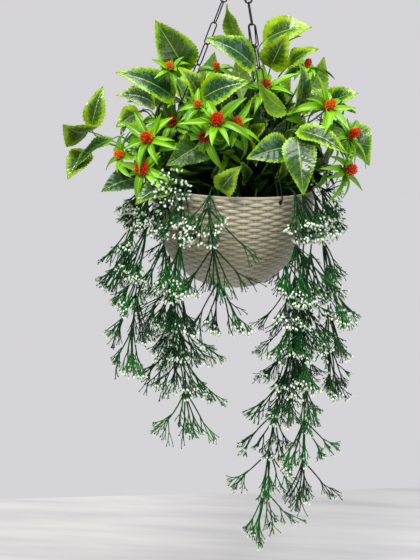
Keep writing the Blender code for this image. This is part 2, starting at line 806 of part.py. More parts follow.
def plan_trails(room, draw):
    plans = []
    for number, (degrees, end, sprays) in enumerate(TRAILS):
        owner = f"trail_{number + 1}"
        for attempt in range(80):
            azimuth = math.radians(degrees + draw.uniform(-1, 1) * 0.06 * attempt)
            drift = random_push(draw) * 0.8 * MM * attempt
            hole, inner, outer = trail_path(azimuth, spot(*end) + drift, sprays)
            inner_test = tube(inner, [TRAIL_RADIUS * 1.6] * len(inner), 4)
            outer_test = tube(outer, [TRAIL_RADIUS * 1.6] * len(outer), 4)
            if room.free(owner, inner_test) and room.free(owner, outer_test):
                break
        else:
            print("no room for", owner)
            continue
        room.add(owner, "stem", inner_test)
        room.add(owner, "stem", outer_test)
        path = [hole - UP * STEM_DEPTH] + inner + outer
        plan = {"name": owner, "stem": path, "hole": hole, "sprays": {}}
        for index in range(len(path) - sprays, len(path)):
            down = path[min(index + 1, len(path) - 1)] - path[index - 1]
            plan["sprays"][index] = plan_spray(room, owner, path[index], down.normalized(), draw)
        plans.append(plan)
    return plans


def plan_spray(room, owner, node, down, draw):
    """One spray: two branches that fan out and down from a place on the strand, each with its forks."""
    outward = Vector((node.x, node.y, 0)).normalized()
    across = down.cross(outward).normalized()
    beside_bowl = RIM_Z - node.z < BOWL_DEPTH
    branches = []
    for hand in (-1, 1):
        lean = draw.uniform(0.1, 0.5) if beside_bowl else draw.uniform(-0.5, 0.5)
        way = down * 0.85 + across * hand * draw.uniform(0.35, 0.75) + outward * lean
        main = plan_twig(room, owner, node, way, draw.uniform(44, 56) * MM, draw, ("twig",), 0.78)
        if main is None:
            continue
        start, end = main
        heading = (end - start).normalized()
        forks = []
        for fork in range(2 if hand == 1 else 1):
            spin = across * draw.uniform(0.45, 0.7) * (1 if fork else -1) + outward * draw.uniform(-0.2, 0.4)
            place = end if fork == 0 else start.lerp(end, KNEE)
            length = draw.uniform(32, 42) * MM
            found = plan_twig(room, owner, place, heading + spin, length, draw, ("stem", "twig"), 1.03)
            if found is not None:
                forks.append((fork, found))
        branches.append((start, end, forks))
    return branches


# Solids

def material(name, colour, roughness, metallic=0.0):
    made = bpy.data.materials.new(name)
    made.use_nodes = True
    shader = made.node_tree.nodes["Principled BSDF"]
    shader.inputs["Base Color"].default_value = (*colour, 1)
    shader.inputs["Roughness"].default_value = roughness
    shader.inputs["Metallic"].default_value = metallic
    return made


def solid(name, shape, finish, smooth=None):
    """Makes one object from a shape, with its faces turned outwards."""
    points, faces = shape
    mesh = bpy.data.meshes.new(name)
    shell = bmesh.new()
    corners = [shell.verts.new(point) for point in points]
    for face in faces:
        shell.faces.new([corners[corner] for corner in face])
    bmesh.ops.recalc_face_normals(shell, faces=shell.faces)
    shell.to_mesh(mesh)
    shell.free()
    mesh.materials.append(finish)
    if smooth is not None:
        mesh.shade_smooth()
        mesh.set_sharp_from_angle(angle=math.radians(smooth))
    made = bpy.data.objects.new(name, mesh)
    bpy.context.scene.collection.objects.link(made)
    return made


def fused(name, shapes, finish, solver):
    """Joins overlapping shapes into one solid, with one Boolean union on a collection."""
    body = solid(name, shapes[0], finish)
    parts = bpy.data.collections.new(name + "_parts")
    bpy.context.scene.collection.children.link(parts)
    extras = []
    for number, shape in enumerate(shapes[1:]):
        piece = solid(f"{name}_part_{number}", shape, finish)
        bpy.context.scene.collection.objects.unlink(piece)
        parts.objects.link(piece)
        extras.append(piece)
    union = body.modifiers.new("union", "BOOLEAN")
    union.operation = "UNION"
    union.operand_type = "COLLECTION"
    union.collection = parts
    union.solver = solver
    bpy.context.view_layer.update()
    whole = bpy.data.meshes.new_from_object(body.evaluated_get(bpy.context.evaluated_depsgraph_get()))
    body.modifiers.clear()
    body.data = whole
    for piece in extras:
        bpy.data.objects.remove(piece)
    bpy.data.collections.remove(parts)
    whole.shade_smooth()
    whole.set_sharp_from_angle(angle=math.radians(40))
    return body


def hide_cutter(cutter):
    cutter.hide_render = True
    cutter.display_type = "WIRE"


def cut_with(body, cutter):
    hide_cutter(cutter)
    cut = body.modifiers.new(cutter.name, "BOOLEAN")
    cut.operation = "DIFFERENCE"
    cut.object = cutter
    cut.solver = "EXACT"


def build_bowl():
    """The bowl: a turned shell, with the crowns of the woven strands raised in a chequer."""
    points = []
    faces = []

    def ring(count, radius, z, relief=0.0, row=0):
        start = len(points)
        for step in range(count):
            angle = math.tau * step / count
            reach = radius + relief * (1 if (step + row) % 2 else -1)
            points.append(Vector((reach * math.cos(angle), reach * math.sin(angle), z)))
        return start

    outer = [ring(STRANDS_ROUND, RIM_RADIUS, RIM_Z), ring(STRANDS_ROUND, RIM_RADIUS, RIM_Z - BAND_HEIGHT)]
    weave_height = BOWL_DEPTH - BAND_HEIGHT - FOOT_BAND
    for row in range(STRAND_ROWS):
        depth = BAND_HEIGHT + weave_height * ((row + 0.5) / STRAND_ROWS) ** 0.97
        outer.append(ring(STRANDS_ROUND, wall_radius(depth) - WEAVE_RELIEF, RIM_Z - depth, WEAVE_RELIEF, row))
    low_band = BOWL_DEPTH - FOOT_BAND
    outer.append(ring(STRANDS_ROUND, wall_radius(low_band), RIM_Z - low_band))
    outer.append(ring(STRANDS_ROUND, FOOT_RADIUS, RIM_Z - BOWL_DEPTH))
    for row, (high, low) in enumerate(zip(outer, outer[1:])):
        for step in range(STRANDS_ROUND):
            after = (step + 1) % STRANDS_ROUND
            crowns = (high + step, low + after)
            hollows = (high + after, low + step)
            if (step + row) % 2 == 0:
                crowns, hollows = hollows, crowns
            faces += [(*hollows, crown) for crown in crowns]
    inner = []
    half = STRANDS_ROUND // 2
    corner_share = math.cos(math.pi / half) ** -0.5
    for share in INNER_SHARES:
        depth = BOWL_DEPTH * share
        inner.append(ring(half, (wall_radius(depth) - WALL) * corner_share, RIM_Z - depth))
    for high, low in zip(inner, inner[1:]):
        for step in range(half):
            after = (step + 1) % half
            faces.append((high + step, high + after, low + after, low + step))
    for step in range(half):
        here = outer[0] + 2 * step
        beyond = outer[0] + (2 * step + 2) % STRANDS_ROUND
        after = inner[0] + (step + 1) % half
        faces.append((inner[0] + step, here, here + 1))
        faces.append((inner[0] + step, here + 1, after))
        faces.append((after, here + 1, beyond))
    faces.append(tuple(inner[-1] + step for step in range(half)))
    faces.append(tuple(outer[-1] + step for step in range(STRANDS_ROUND)))
    bowl = solid("bowl", (points, faces), MATERIALS["bowl"], 25)
    for name, degrees in CHAIN_AZIMUTHS.items():
        azimuth = math.radians(degrees)
        outward = Vector((math.cos(azimuth), math.sin(azimuth), 0))
        height = UP * (RIM_Z - RIM_HOLE_DROP)
        ends = [outward * (RIM_RADIUS - 12 * MM) + height, outward * (RIM_RADIUS + 6 * MM) + height]
        drill = tube(ends, [RIM_HOLE_RADIUS] * 2, 8, math.pi / 8)
        cut_with(bowl, solid(name + "_hole", drill, MATERIALS["bowl"]))


def build_foam(holes):
    """The foam block: it fills the bowl and has a plain hole for each stem."""
    depths = [FOAM_DROP] + [BOWL_DEPTH * share for share in INNER_SHARES[2:]]
    depths[-1] -= GAP
    path = [Vector((0, 0, RIM_Z - depth)) for depth in depths]
    radii = [wall_radius(depth) - WALL - FOAM_SIDE_GAP for depth in depths]
    foam = solid("foam", tube(path, radii, 24), MATERIALS["foam"], 30)
    drills = []
    for hole, radius in holes:
        reach = (radius + HOLE_CLEARANCE) / math.cos(math.pi / HOLE_SIDES)
        ends = [hole - UP * (STEM_DEPTH + GAP), hole + UP * 8 * MM]
        drills.append(tube(ends, [reach, reach], HOLE_SIDES))
    cut_with(foam, fused("foam_holes", drills, MATERIALS["foam"], "MANIFOLD"))


def ring_tube(path, centre, radius, sides):
    """A tube round a flat closed path, with a flat of each section turned to the path's centre."""
    points = []
    faces = []
    count = len(path)
    for index, point in enumerate(path):
        along = (path[(index + 1) % count] - path[index - 1]).normalized()
        outward = point - centre
        outward = (outward - along * outward.dot(along)).normalized()
        other = along.cross(outward)
        for step in range(sides):
            angle = math.tau * (step + 0.5) / sides
            points.append(point + outward * radius * math.cos(angle) + other * radius * math.sin(angle))
    for index in range(count):
        low = index * sides
        high = (index + 1) % count * sides
        for step in range(sides):
            after = (step + 1) % sides
            faces.append((low + step, low + after, high + after, high + step))
    return points, faces


def build_hook():
    """The hook: a crook for the rail above, a shank and an eye for the chains."""
    middle = Vector((0, 0, -(CROOK_RADIUS - HOOK_WIRE)))
    path = [Vector((0, 0, EYE_Z + EYE_RADIUS - 1 * MM)), Vector((0, 0, -50 * MM)),
            Vector((2 * MM, 0, -40 * MM)), Vector((8.5 * MM, 0, -30 * MM))]
    for step in range(10):
        angle = math.radians(-22 + 222 * step / 9)
        path.append(middle + Vector((math.cos(angle), 0, math.sin(angle))) * CROOK_RADIUS)
    crook = tube(path, [HOOK_WIRE] * len(path), 6)
    centre = Vector((0, 0, EYE_Z))
    ring = []
    for step in range(14):
        angle = math.tau * step / 14
        ring.append(centre + Vector((math.cos(angle), 0, math.sin(angle))) * EYE_RADIUS)
    fused("hook", [crook, ring_tube(ring, centre, HOOK_WIRE, 6)], MATERIALS["steel"], "EXACT")


def link_shape(upper, lower, across):
    """One long link between its two arc centres, lying in the plane that holds across."""
    along = (lower - upper).normalized()
    arc = LINK_HALF_WIDTH / math.cos(math.radians(30))
    half = arc * math.sin(math.radians(30))
    corners = [(LINK_HALF_WIDTH, 0), (half, LINK_HALF_WIDTH), (-half, LINK_HALF_WIDTH), (-LINK_HALF_WIDTH, 0)]
    path = [upper + across * side - along * depth for side, depth in corners]
    path += [lower + across * side + along * depth for side, depth in reversed(corners)]
    return ring_tube(path, (upper + lower) / 2, CHAIN_WIRE / math.cos(math.pi / 4), 4)


def build_chain(name):
    """A chain: links that turn by about a quarter from one to the next, from the eye to the rim."""
    upper, lower, first, last = chain_ends(name)
    along = (lower - upper).normalized()
    inner = LINK_HALF_WIDTH - CHAIN_WIRE * math.cos(math.radians(30))
    step_in = 2 * inner + LINK_SINK
    straight = ((lower - upper).length - (LINKS - 1) * step_in) / LINKS
    first = (first - along * first.dot(along)).normalized()
    other = along.cross(first)
    turned = math.atan2(last.dot(other), last.dot(first))
    nominal = (LINKS - 1) * math.pi / 2
    slack = (turned - nominal + math.pi / 2) % math.pi - math.pi / 2
    quarter = math.pi / 2 + slack / (LINKS - 1)
    links = []
    place = upper
    for number in range(LINKS):
        angle = quarter * number
        end = place + along * straight
        links.append(link_shape(place, end, first * math.cos(angle) + other * math.sin(angle)))
        place = end + along * step_in
    fused(name, links, MATERIALS["chain"], "EXACT")


def stem_with_collars(skin, path, radius, shares):
    """Grows a stem along its path with a short collar at each share; gives each collar's sides."""
    total = sum((b - a).length for a, b in zip(path, path[1:]))
    stations = []
    run = 0.0
    for a, b in zip(path, path[1:]):
        run += (b - a).length
        stations.append((run / total, None))
    stations = [entry for entry in stations if all(abs(entry[0] - share) > 0.05 for share in shares)]
    stations += [(share + sign * COLLAR / total, share if sign > 0 else None)
                 for share in shares for sign in (-1, 1)]
    ring = skin.begin(path[0], path[1] - path[0], radius)
    collars = {}
    for place, share in sorted(stations, key=lambda entry: entry[0]):
        if place >= 1:
            continue
        here = point_at(path, place)
        along = point_at(path, min(place + 0.01, 1)) - point_at(path, place - 0.01)
        ring, sides = skin.push(ring, here, along, radius)
        if share is not None:
            collars[share] = sides
    skin.tip(ring, path[-1])
    return collars


def crossings(shape):
    """How many pairs of faces of one surface meet without sharing a corner."""
    points, faces = shape
    tree = BVHTree.FromPolygons(points, faces)
    return sum(1 for a, b in tree.overlap(tree) if a < b and not set(faces[a]) & set(faces[b]))


def grow_clean(room, name, grow, draw):
    """Grows a plant; where it would cross itself or another, its stalks are bent a little and it grows again."""
    best = None
    for attempt in range(60):
        skin = Skin()
        grow(skin, lambda: random_push(draw) * BEND_STEP * attempt)
        found = crossings(skin.shape()) + (0 if room.free(name, skin.shape()) else 1)
        if best is None or found < best[0]:
            best = (found, skin.shape())
        if found == 0:
            break
    if best[0]:
        print(name, "crosses something", best[0])
    return best[1]


def build_coleus(room, plan, draw):
    def grow(skin, bend):
        collars = stem_with_collars(skin, plan["stem"], STEM_RADIUS, [share for share, leaf in plan["leaves"]])
        for share, (base, tip, width, face, stalk) in plan["leaves"]:
            bent = [stalk[0], stalk[1] + bend(), stalk[2] + bend(), stalk[3]]
            ring = skin.shoot(collars[share], bent[1] - bent[0])
            for step in (1, 2):
                ring, sides = skin.push(ring, bent[step], bent[step + 1] - bent[step - 1], PETIOLE_RADIUS)
            grow_blade(skin, ring, base, tip, width, face)

    solid(plan["name"], grow_clean(room, plan["name"], grow, draw), MATERIALS["coleus"], 40)


def build_berry(room, plan, built, draw):
    def grow(skin, bend):
        shares = [head["share"] for head in plan["heads"]]
        collars = stem_with_collars(skin, plan["stem"], STEM_RADIUS, shares)
        for head in plan["heads"]:
            branch = head["branch"]
            bent = [branch[0]] + [place + bend() for place in branch[1:4]] + [branch[4]]
            ring = skin.shoot(collars[head["share"]], bent[1] - bent[0])
            for step in (1, 2, 3):
                ring, sides = skin.push(ring, bent[step], bent[step + 1] - bent[step - 1], BRANCH_RADIUS)
            grow_whorl(skin, ring, head)

    solid(plan["name"], grow_clean(room, plan["name"], grow, draw), MATERIALS["lance"], 40)
    for number, head in enumerate(plan["heads"]):
        build_head(f"berry_{built + number + 1}", head)
    return built + len(plan["heads"])


def build_head(name, head):
    """A spiky red head: a small ball whose first points stand out."""
    mesh = bpy.data.meshes.new(name)
    shell = bmesh.new()
    bmesh.ops.create_icosphere(shell, subdivisions=2, radius=HEAD_RADIUS)
    for vert in shell.verts:
        if len(vert.link_edges) != 5:
            vert.co *= HEAD_DIP
    turn = head["axis"].to_track_quat("Z", "Y").to_matrix().to_4x4()
    shell.transform(Matrix.Translation(head["centre"]) @ turn)
    shell.to_mesh(mesh)
    shell.free()
    mesh.materials.append(MATERIALS["berry"])
    made = bpy.data.objects.new(name, mesh)
    bpy.context.scene.collection.objects.link(made)


def grow_bud(skin, ring, start, end):
    """Ends a twig in a small bud."""
    ring, sides = skin.push(ring, start.lerp(end, BUD_SHARE), end - start, BUD_RADIUS)
    skin.tip(ring, end)


def grow_branch(skin, sides, along, branch, bend):
    """Grows one branch of a spray from the side of its strand, with its forks."""
    start, end, forks = branch
    knee = start.lerp(end, KNEE) + bend() * 2
    heading = (knee - start).normalized()
    ring = skin.shoot(sides, heading - along * heading.dot(along))
    if not forks:
        grow_bud(skin, ring, start, end)
        return
    ring, unused = skin.push(ring, knee - heading * KNEE_HALF, heading, TWIG_RADIUS)
    ring, knee_sides = skin.push(ring, knee + heading * KNEE_HALF, heading, TWIG_RADIUS)
    straight_on = (knee, end)
    for fork, (fork_start, fork_end) in forks:
        if fork == 0:
            straight_on = (fork_start, fork_end)
            continue
        spin = (fork_end - fork_start).normalized()
        side_ring = skin.shoot(knee_sides, spin - heading * spin.dot(heading))
        grow_bud(skin, side_ring, fork_start, fork_end + bend() * 4)
    grow_bud(skin, ring, *straight_on)


def build_trail(room, plan, draw):
    path = plan["stem"]

    def grow(skin, bend):
        ring = skin.begin(path[0], path[1] - path[0], TRAIL_RADIUS)
        for index in range(1, len(path)):
            along = (path[min(index + 1, len(path) - 1)] - path[index - 1]).normalized()
            if index not in plan["sprays"]:
                ring, sides = skin.push(ring, path[index], along, TRAIL_RADIUS)
                continue
            ring, sides = skin.push(ring, path[index] - along * COLLAR, along, TRAIL_RADIUS)
            ring, sides = skin.push(ring, path[index] + along * COLLAR, along, TRAIL_RADIUS)
            for branch in plan["sprays"][index]:
                grow_branch(skin, sides, along, branch, bend)
        skin.tip(ring, path[-1] + along * 2.5 * COLLAR)

    solid(plan["name"], grow_clean(room, plan["name"], grow, draw), MATERIALS["spray"], 40)


for old in list(bpy.data.objects):
    bpy.data.objects.remove(old)

MATERIALS = {
    "bowl": material("moulded_weave", (0.36, 0.32, 0.21), 0.42),
    "foam": material("foam", (0.03, 0.03, 0.015), 0.95),
    "steel": material("black_steel", (0.02, 0.02, 0.022), 0.4, 0.9),
    "chain": material("black_chain", (0.02, 0.02, 0.022), 0.4, 0.9),
    "coleus": material("coleus_leaf", (0.12, 0.27, 0.03), 0.35),
    "lance": material("lance_leaf", (0.10, 0.42, 0.03), 0.4),
    "berry": material("berry_head", (0.75, 0.06, 0.01), 0.5),
    "spray": material("spray", (0.02, 0.09, 0.035), 0.5),
}

everything = Room()
add_obstacles(everything)
coleus_plans = plan_coleus(everything, random.Random(SEED))
berry_plans = plan_berries(everything, random.Random(SEED + 1))
trail_plans = plan_trails(everything, random.Random(SEED + 2))

build_bowl()
build_hook()
for chain_name in CHAIN_AZIMUTHS:
    build_chain(chain_name)
foam_holes = [(plan["hole"], STEM_RADIUS) for plan in coleus_plans + berry_plans]
foam_holes += [(plan["hole"], TRAIL_RADIUS) for plan in trail_plans]
build_foam(foam_holes)
bends = random.Random(SEED + 3)
for coleus_plan in coleus_plans:
    build_coleus(everything, coleus_plan, bends)
heads_built = 0
for berry_plan in berry_plans:
    heads_built = build_berry(everything, berry_plan, heads_built, bends)
for trail_plan in trail_plans:
    build_trail(everything, trail_plan, bends)
print("heads", heads_built, "strands", len(trail_plans))
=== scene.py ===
# %% [markdown]
# # A flower hanging basket
# The basket is a moulded bowl with a woven look, hung on three link chains. It holds artificial
# coleus, stems of lance leaves with red berry-like heads, and long trailing sprays with white buds.
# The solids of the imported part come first. Every piece made below is drawn around them.

import math
import random

import bmesh
import bpy
from mathutils import Matrix, Vector, noise
from mathutils.bvhtree import BVHTree


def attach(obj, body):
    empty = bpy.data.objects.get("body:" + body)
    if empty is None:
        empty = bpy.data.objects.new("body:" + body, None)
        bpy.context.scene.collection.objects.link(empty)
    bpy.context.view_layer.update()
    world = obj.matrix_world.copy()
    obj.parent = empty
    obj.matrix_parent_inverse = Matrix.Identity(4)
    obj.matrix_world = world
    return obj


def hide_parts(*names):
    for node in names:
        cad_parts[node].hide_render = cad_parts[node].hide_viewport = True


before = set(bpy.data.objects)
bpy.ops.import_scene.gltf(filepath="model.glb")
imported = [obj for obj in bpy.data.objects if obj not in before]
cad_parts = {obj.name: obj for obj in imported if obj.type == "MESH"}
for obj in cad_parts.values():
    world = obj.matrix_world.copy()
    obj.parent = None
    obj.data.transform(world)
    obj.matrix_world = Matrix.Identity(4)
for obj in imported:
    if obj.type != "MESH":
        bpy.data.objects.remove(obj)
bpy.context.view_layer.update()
MM = 0.001
RIM_Z = -395 * MM
UP = Vector((0, 0, 1))

# %% [markdown]
# ## Camera
# The picture was taken from a little above the rim, slightly from the left, with the camera tipped
# down and turned a little about its own axis. A camera can be aimed with a Track To constraint, but
# setting its three axes directly also keeps the small roll.

# %% Camera
CAMERA_PLACE = Vector((0, -1.5003, -0.1708))
YAW = math.radians(-1.105)
PITCH = math.radians(-13.893)
ROLL = math.radians(2.0)
LENS = 65.9

forward = Vector((math.sin(YAW) * math.cos(PITCH), math.cos(YAW) * math.cos(PITCH), math.sin(PITCH)))
level = Vector((math.cos(YAW), -math.sin(YAW), 0))
above = level.cross(forward)
right = level * math.cos(ROLL) + above * math.sin(ROLL)
top = above * math.cos(ROLL) - level * math.sin(ROLL)
camera = bpy.data.objects.new("camera", bpy.data.cameras.new("camera"))
bpy.context.scene.collection.objects.link(camera)
camera.matrix_world = Matrix.Translation(CAMERA_PLACE) @ Matrix((right, top, -forward)).transposed().to_4x4()
camera.data.lens = LENS
camera.data.clip_end = 50
bpy.context.scene.camera = camera

# %% [markdown]
# ## Studio
# The basket hangs in front of a pale wall, over a pale floor. The wall is the world's own colour, so
# that it never stands in the way of a view from behind, and the floor's far edge gives the line where
# they meet. Large soft lights above and beside the camera give the leaves their broad gloss.

# %% Wall colour, floor and lights
WALL_COLOUR = (0.665, 0.655, 0.68)
ROOM_LIGHT = 0.34
FLOOR_Z = -1.128

scene = bpy.context.scene
scene.view_settings.view_transform = "Standard"
world = bpy.data.worlds.new("pale_wall")
scene.world = world
world.use_nodes = True
sky_nodes = world.node_tree.nodes
seen = sky_nodes["Background"]
seen.inputs["Color"].default_value = (*WALL_COLOUR, 1)
dim = sky_nodes.new("ShaderNodeBackground")
dim.inputs["Color"].default_value = (0.86, 0.93, 1.0, 1)
dim.inputs["Strength"].default_value = ROOM_LIGHT
straight = sky_nodes.new("ShaderNodeLightPath")
choose = sky_nodes.new("ShaderNodeMixShader")
link = world.node_tree.links.new
link(straight.outputs["Is Camera Ray"], choose.inputs[0])
link(dim.outputs[0], choose.inputs[1])
link(seen.outputs[0], choose.inputs[2])
link(choose.outputs[0], sky_nodes["World Output"].inputs[0])


def soft_light(name, place, target, size, power, colour=(1, 1, 1)):
    lamp = bpy.data.objects.new(name, bpy.data.lights.new(name, "AREA"))
    lamp.data.shape = "RECTANGLE"
    lamp.data.size, lamp.data.size_y = size
    lamp.data.energy = power
    lamp.data.color = colour
    lamp.location = place
    lamp.rotation_euler = (Vector(target) - Vector(place)).to_track_quat("-Z", "Y").to_euler()
    scene.collection.objects.link(lamp)


BASKET = (0, 0, RIM_Z)
soft_light("key", (-0.7, -1.5, 1.3), BASKET, (0.9, 0.6), 46, (1.0, 0.98, 0.93))
soft_light("ceiling", (0.3, -0.2, 1.6), BASKET, (1.6, 1.2), 44)
soft_light("fill", (1.7, -1.0, 0.2), BASKET, (0.8, 1.4), 9, (0.9, 0.95, 1.0))

# %% [markdown]
# ## Finishes
# Each finish is a Principled shader with a few texture nodes in front of it. A small helper keeps the
# node code short: it adds a node, sets its values and links its inputs.

# %% A short way to write node materials
class Finish:
    """One node material; each call adds a node and returns its first output."""

    def __init__(self, name, roughness=0.5, metallic=0.0):
        self.material = bpy.data.materials.new(name)
        self.material.use_nodes = True
        self.tree = self.material.node_tree
        self.shader = self.tree.nodes["Principled BSDF"]
        self.set("Roughness", roughness)
        self.set("Metallic", metallic)

    def set(self, socket, value):
        if isinstance(value, bpy.types.NodeSocket):
            self.tree.links.new(value, self.shader.inputs[socket])
        else:
            self.shader.inputs[socket].default_value = value

    def add(self, kind, inputs=None, output=0, **settings):
        node = self.tree.nodes.new("ShaderNode" + kind)
        for key, value in settings.items():
            setattr(node, key, value)
        for key, value in (inputs or {}).items():
            if isinstance(value, bpy.types.NodeSocket):
                self.tree.links.new(value, node.inputs[key])
            else:
                node.inputs[key].default_value = value
        return node.outputs[output]

    def math(self, operation, a, b=0.0, c=0.0):
        return self.add("Math", {0: a, 1: b, 2: c}, operation=operation)

    def mix(self, share, a, b):
        return self.add("Mix", {0: share, 6: a, 7: b}, output=2, data_type="RGBA")

    def ramp(self, value, low, high):
        return self.add("MapRange", {0: value, 1: low, 2: high}, interpolation_type="SMOOTHSTEP")

    def noise(self, scale, detail=2.0, place=None):
        inputs = {"Scale": scale, "Detail": detail}
        inputs["Vector"] = place if place is not None else self.place()
        return self.add("TexNoise", inputs)

    def place(self):
        return self.add("TexCoord", output=3)

    def uv(self, name):
        return self.add("UVMap", uv_map=name)

    def bump(self, height, strength, distance):
        normal = self.add("Bump", {"Height": height, "Strength": strength, "Distance": distance})
        self.set("Normal", normal)


def rgb(red, green, blue):
    """A colour as the eye reads it from 0 to 255, turned into the linear values that a shader takes."""
    return tuple(((v / 255 + 0.055) / 1.055) ** 2.4 if v > 10 else v / 255 / 12.92 for v in (red, green, blue)) + (1,)


# %% [markdown]
# ## Meshes from lists
# Leaves, twigs and links are all made as lists of points and faces. One small class gathers them, with
# two maps: "shape" says where a point lies on its leaf, and "tint" gives each leaf a colour of its own.
# On the bowl, the shaded leaves and the red heads, the tint also carries painted shade.

# %% A store for points, faces and maps
class Store:
    """Gathers points, faces, finishes and maps, and makes one object of them."""

    def __init__(self):
        self.points = []
        self.faces = []
        self.finishes = []
        self.shape_map = []
        self.tint_map = []

    def point(self, place, u=0.0, v=0.0, tint=(0.5, 0.5)):
        self.points.append(place)
        self.shape_map.append((u, v))
        self.tint_map.append(tint)
        return len(self.points) - 1

    def face(self, corners, finish=0):
        self.faces.append(corners)
        self.finishes.append(finish)

    def make(self, name, materials, smooth=40):
        mesh = bpy.data.meshes.new(name)
        mesh.from_pydata([tuple(point) for point in self.points], [], self.faces)
        mesh.polygons.foreach_set("material_index", self.finishes)
        corners = [0] * len(mesh.loops)
        mesh.loops.foreach_get("vertex_index", corners)
        for title, values in (("shape", self.shape_map), ("tint", self.tint_map)):
            layer = mesh.uv_layers.new(name=title)
            layer.data.foreach_set("uv", [value for corner in corners for value in values[corner]])
        for entry in materials:
            mesh.materials.append(entry.material)
        mesh.shade_smooth()
        if smooth:
            mesh.set_sharp_from_angle(angle=math.radians(smooth))
        made = bpy.data.objects.new(name, mesh)
        bpy.context.scene.collection.objects.link(made)
        return made


# %% [markdown]
# ## Round forms along a path
# A stem, twig or wire is a row of rings along a path. A curve object with a bevel could do the same,
# but rings in code let one mesh hold a whole plant with its own maps.

# %% Rings along a path
def frames_along(path):
    """A steady pair of cross directions at each point of a path."""
    pairs = []
    side = None
    for index, point in enumerate(path):
        before = path[max(index - 1, 0)]
        after = path[min(index + 1, len(path) - 1)]
        along = (after - before).normalized()
        if side is None:
            guide = Vector((0.3, 1, 0.2)) if abs(along.z) > 0.5 else UP
            side = along.cross(guide).normalized()
        side = (side - along * side.dot(along)).normalized()
        pairs.append((side, along.cross(side)))
    return pairs


def tube(path, radii, sides, turn=0.0):
    """A closed tube through a path, with flat ends."""
    points = []
    faces = []
    for (side, other), point, radius in zip(frames_along(path), path, radii):
        for step in range(sides):
            angle = math.tau * step / sides + turn
            points.append(point + side * radius * math.cos(angle) + other * radius * math.sin(angle))
    for ring in range(len(path) - 1):
        low = ring * sides
        high = low + sides
        for step in range(sides):
            after = (step + 1) % sides
            faces.append((low + step, low + after, high + after, high + step))
    last = (len(path) - 1) * sides
    faces.append(tuple(last + step for step in range(sides)))
    faces.append(tuple(reversed(range(sides))))
    return points, faces


def smooth_path(path, steps):
    """More points along a path, on a curve that passes through all of the given ones."""
    out = []
    for index in range(len(path) - 1):
        a = path[max(index - 1, 0)]
        b = path[index]
        c = path[index + 1]
        d = path[min(index + 2, len(path) - 1)]
        for step in range(steps):
            t = step / steps
            out.append(0.5 * (2 * b + (c - a) * t + (2 * a - 5 * b + 4 * c - d) * t * t
                              + (3 * b - a - 3 * c + d) * t ** 3))
    out.append(path[-1])
    return out


def sweep(store, path, radii, sides, finish=0, tint=(0.5, 0.5)):
    """Adds a closed tube to a store; its shape map runs round it and along it."""
    rings = []
    for number, ((side, other), place, radius) in enumerate(zip(frames_along(path), path, radii)):
        ring = []
        for step in range(sides):
            angle = math.tau * step / sides
            offset = side * math.cos(angle) + other * math.sin(angle)
            ring.append(store.point(place + offset * radius, step / sides, number / (len(path) - 1), tint))
        rings.append(ring)
    for low, high in zip(rings, rings[1:]):
        for step in range(sides):
            after = (step + 1) % sides
            store.face((low[step], low[after], high[after], high[step]), finish)
    store.face(tuple(reversed(rings[0])), finish)
    store.face(tuple(rings[-1]), finish)


# %% [markdown]
# ## Where everything grows
# The solids were laid out one by one: each stem has its crown, each leaf its base, tip, width and the way
# its top faces, and each strand its lower end. The same lists and the same seeded search give the same
# places here, so that each finer leaf lies where its solid is.

# %% The layout, in millimetres from the middle of the rim
SEED = 25
GAP = 0.3 * MM
VIEWER = Vector((0, -1, 0.25))
SKY = Vector((0, -0.35, 1))
SLANT = Vector((0, -0.75, 0.7))
LEFTWARD = Vector((-0.75, -0.6, 0.2))
RIGHTWARD = Vector((0.75, -0.6, 0.2))
RIM_RADIUS = 120 * MM
BOWL_DEPTH = 150 * MM
FOOT_RADIUS = 27 * MM
WALL = 3 * MM
CHAIN_AZIMUTHS = {"chain_left": 184, "chain_front": 304, "chain_back": 64}
LINKS = 11
CHAIN_WIRE = 0.9 * MM
LINK_HALF_WIDTH = 4.5 * MM
LINK_SINK = 0.25 * MM
RIM_LINK_RADIUS = 118 * MM
RIM_LINK_DROP = 3.24 * MM
RIM_HOLE_RADIUS = 3.6 * MM
RIM_HOLE_DROP = 9 * MM
HOOK_WIRE = 2 * MM
CROOK_RADIUS = 16 * MM
EYE_RADIUS = 10.5 * MM
EYE_Z = -70.5 * MM
EYE_GAP = 0.7 * MM
EYE_PLACES = {"chain_left": -26, "chain_front": 0, "chain_back": 26}
FOAM_DROP = 12 * MM
STEM_DEPTH = 22 * MM
STEM_RADIUS = 1.5 * MM
COLEUS_RING = 56 * MM
BERRY_RING = 32 * MM
TRAIL_RING = 90 * MM
PETIOLE_RADIUS = 1.1 * MM
TEST_MARGIN = 1.1 * MM
WHORL_LEAVES = 7
LANCE_LENGTH = 46 * MM
LANCE_WIDTH = 9.5 * MM
LANCE_WIDEST = 0.42
LANCE_KEEL = 1.1 * MM
LANCE_DROOP = 0.35
LEAST_OPEN = 0.93
HUB_RADIUS = 2.4 * MM
HUB_HALF_HEIGHT = 1.1 * MM
HEAD_RADIUS = 8.5 * MM
BRANCH_RADIUS = 1.2 * MM
TRAIL_RADIUS = 1.4 * MM
KNEE = 0.84
BOWL_MARGIN = 2.5 * MM
CHAIN_MARGIN = 7.5 * MM
TRAIL_TOP = 10 * MM
TRAIL_OUT = 134 * MM


def spot(x, y, z):
    """A place given in millimetres from the middle of the rim."""
    return Vector((x * MM, y * MM, RIM_Z + z * MM))


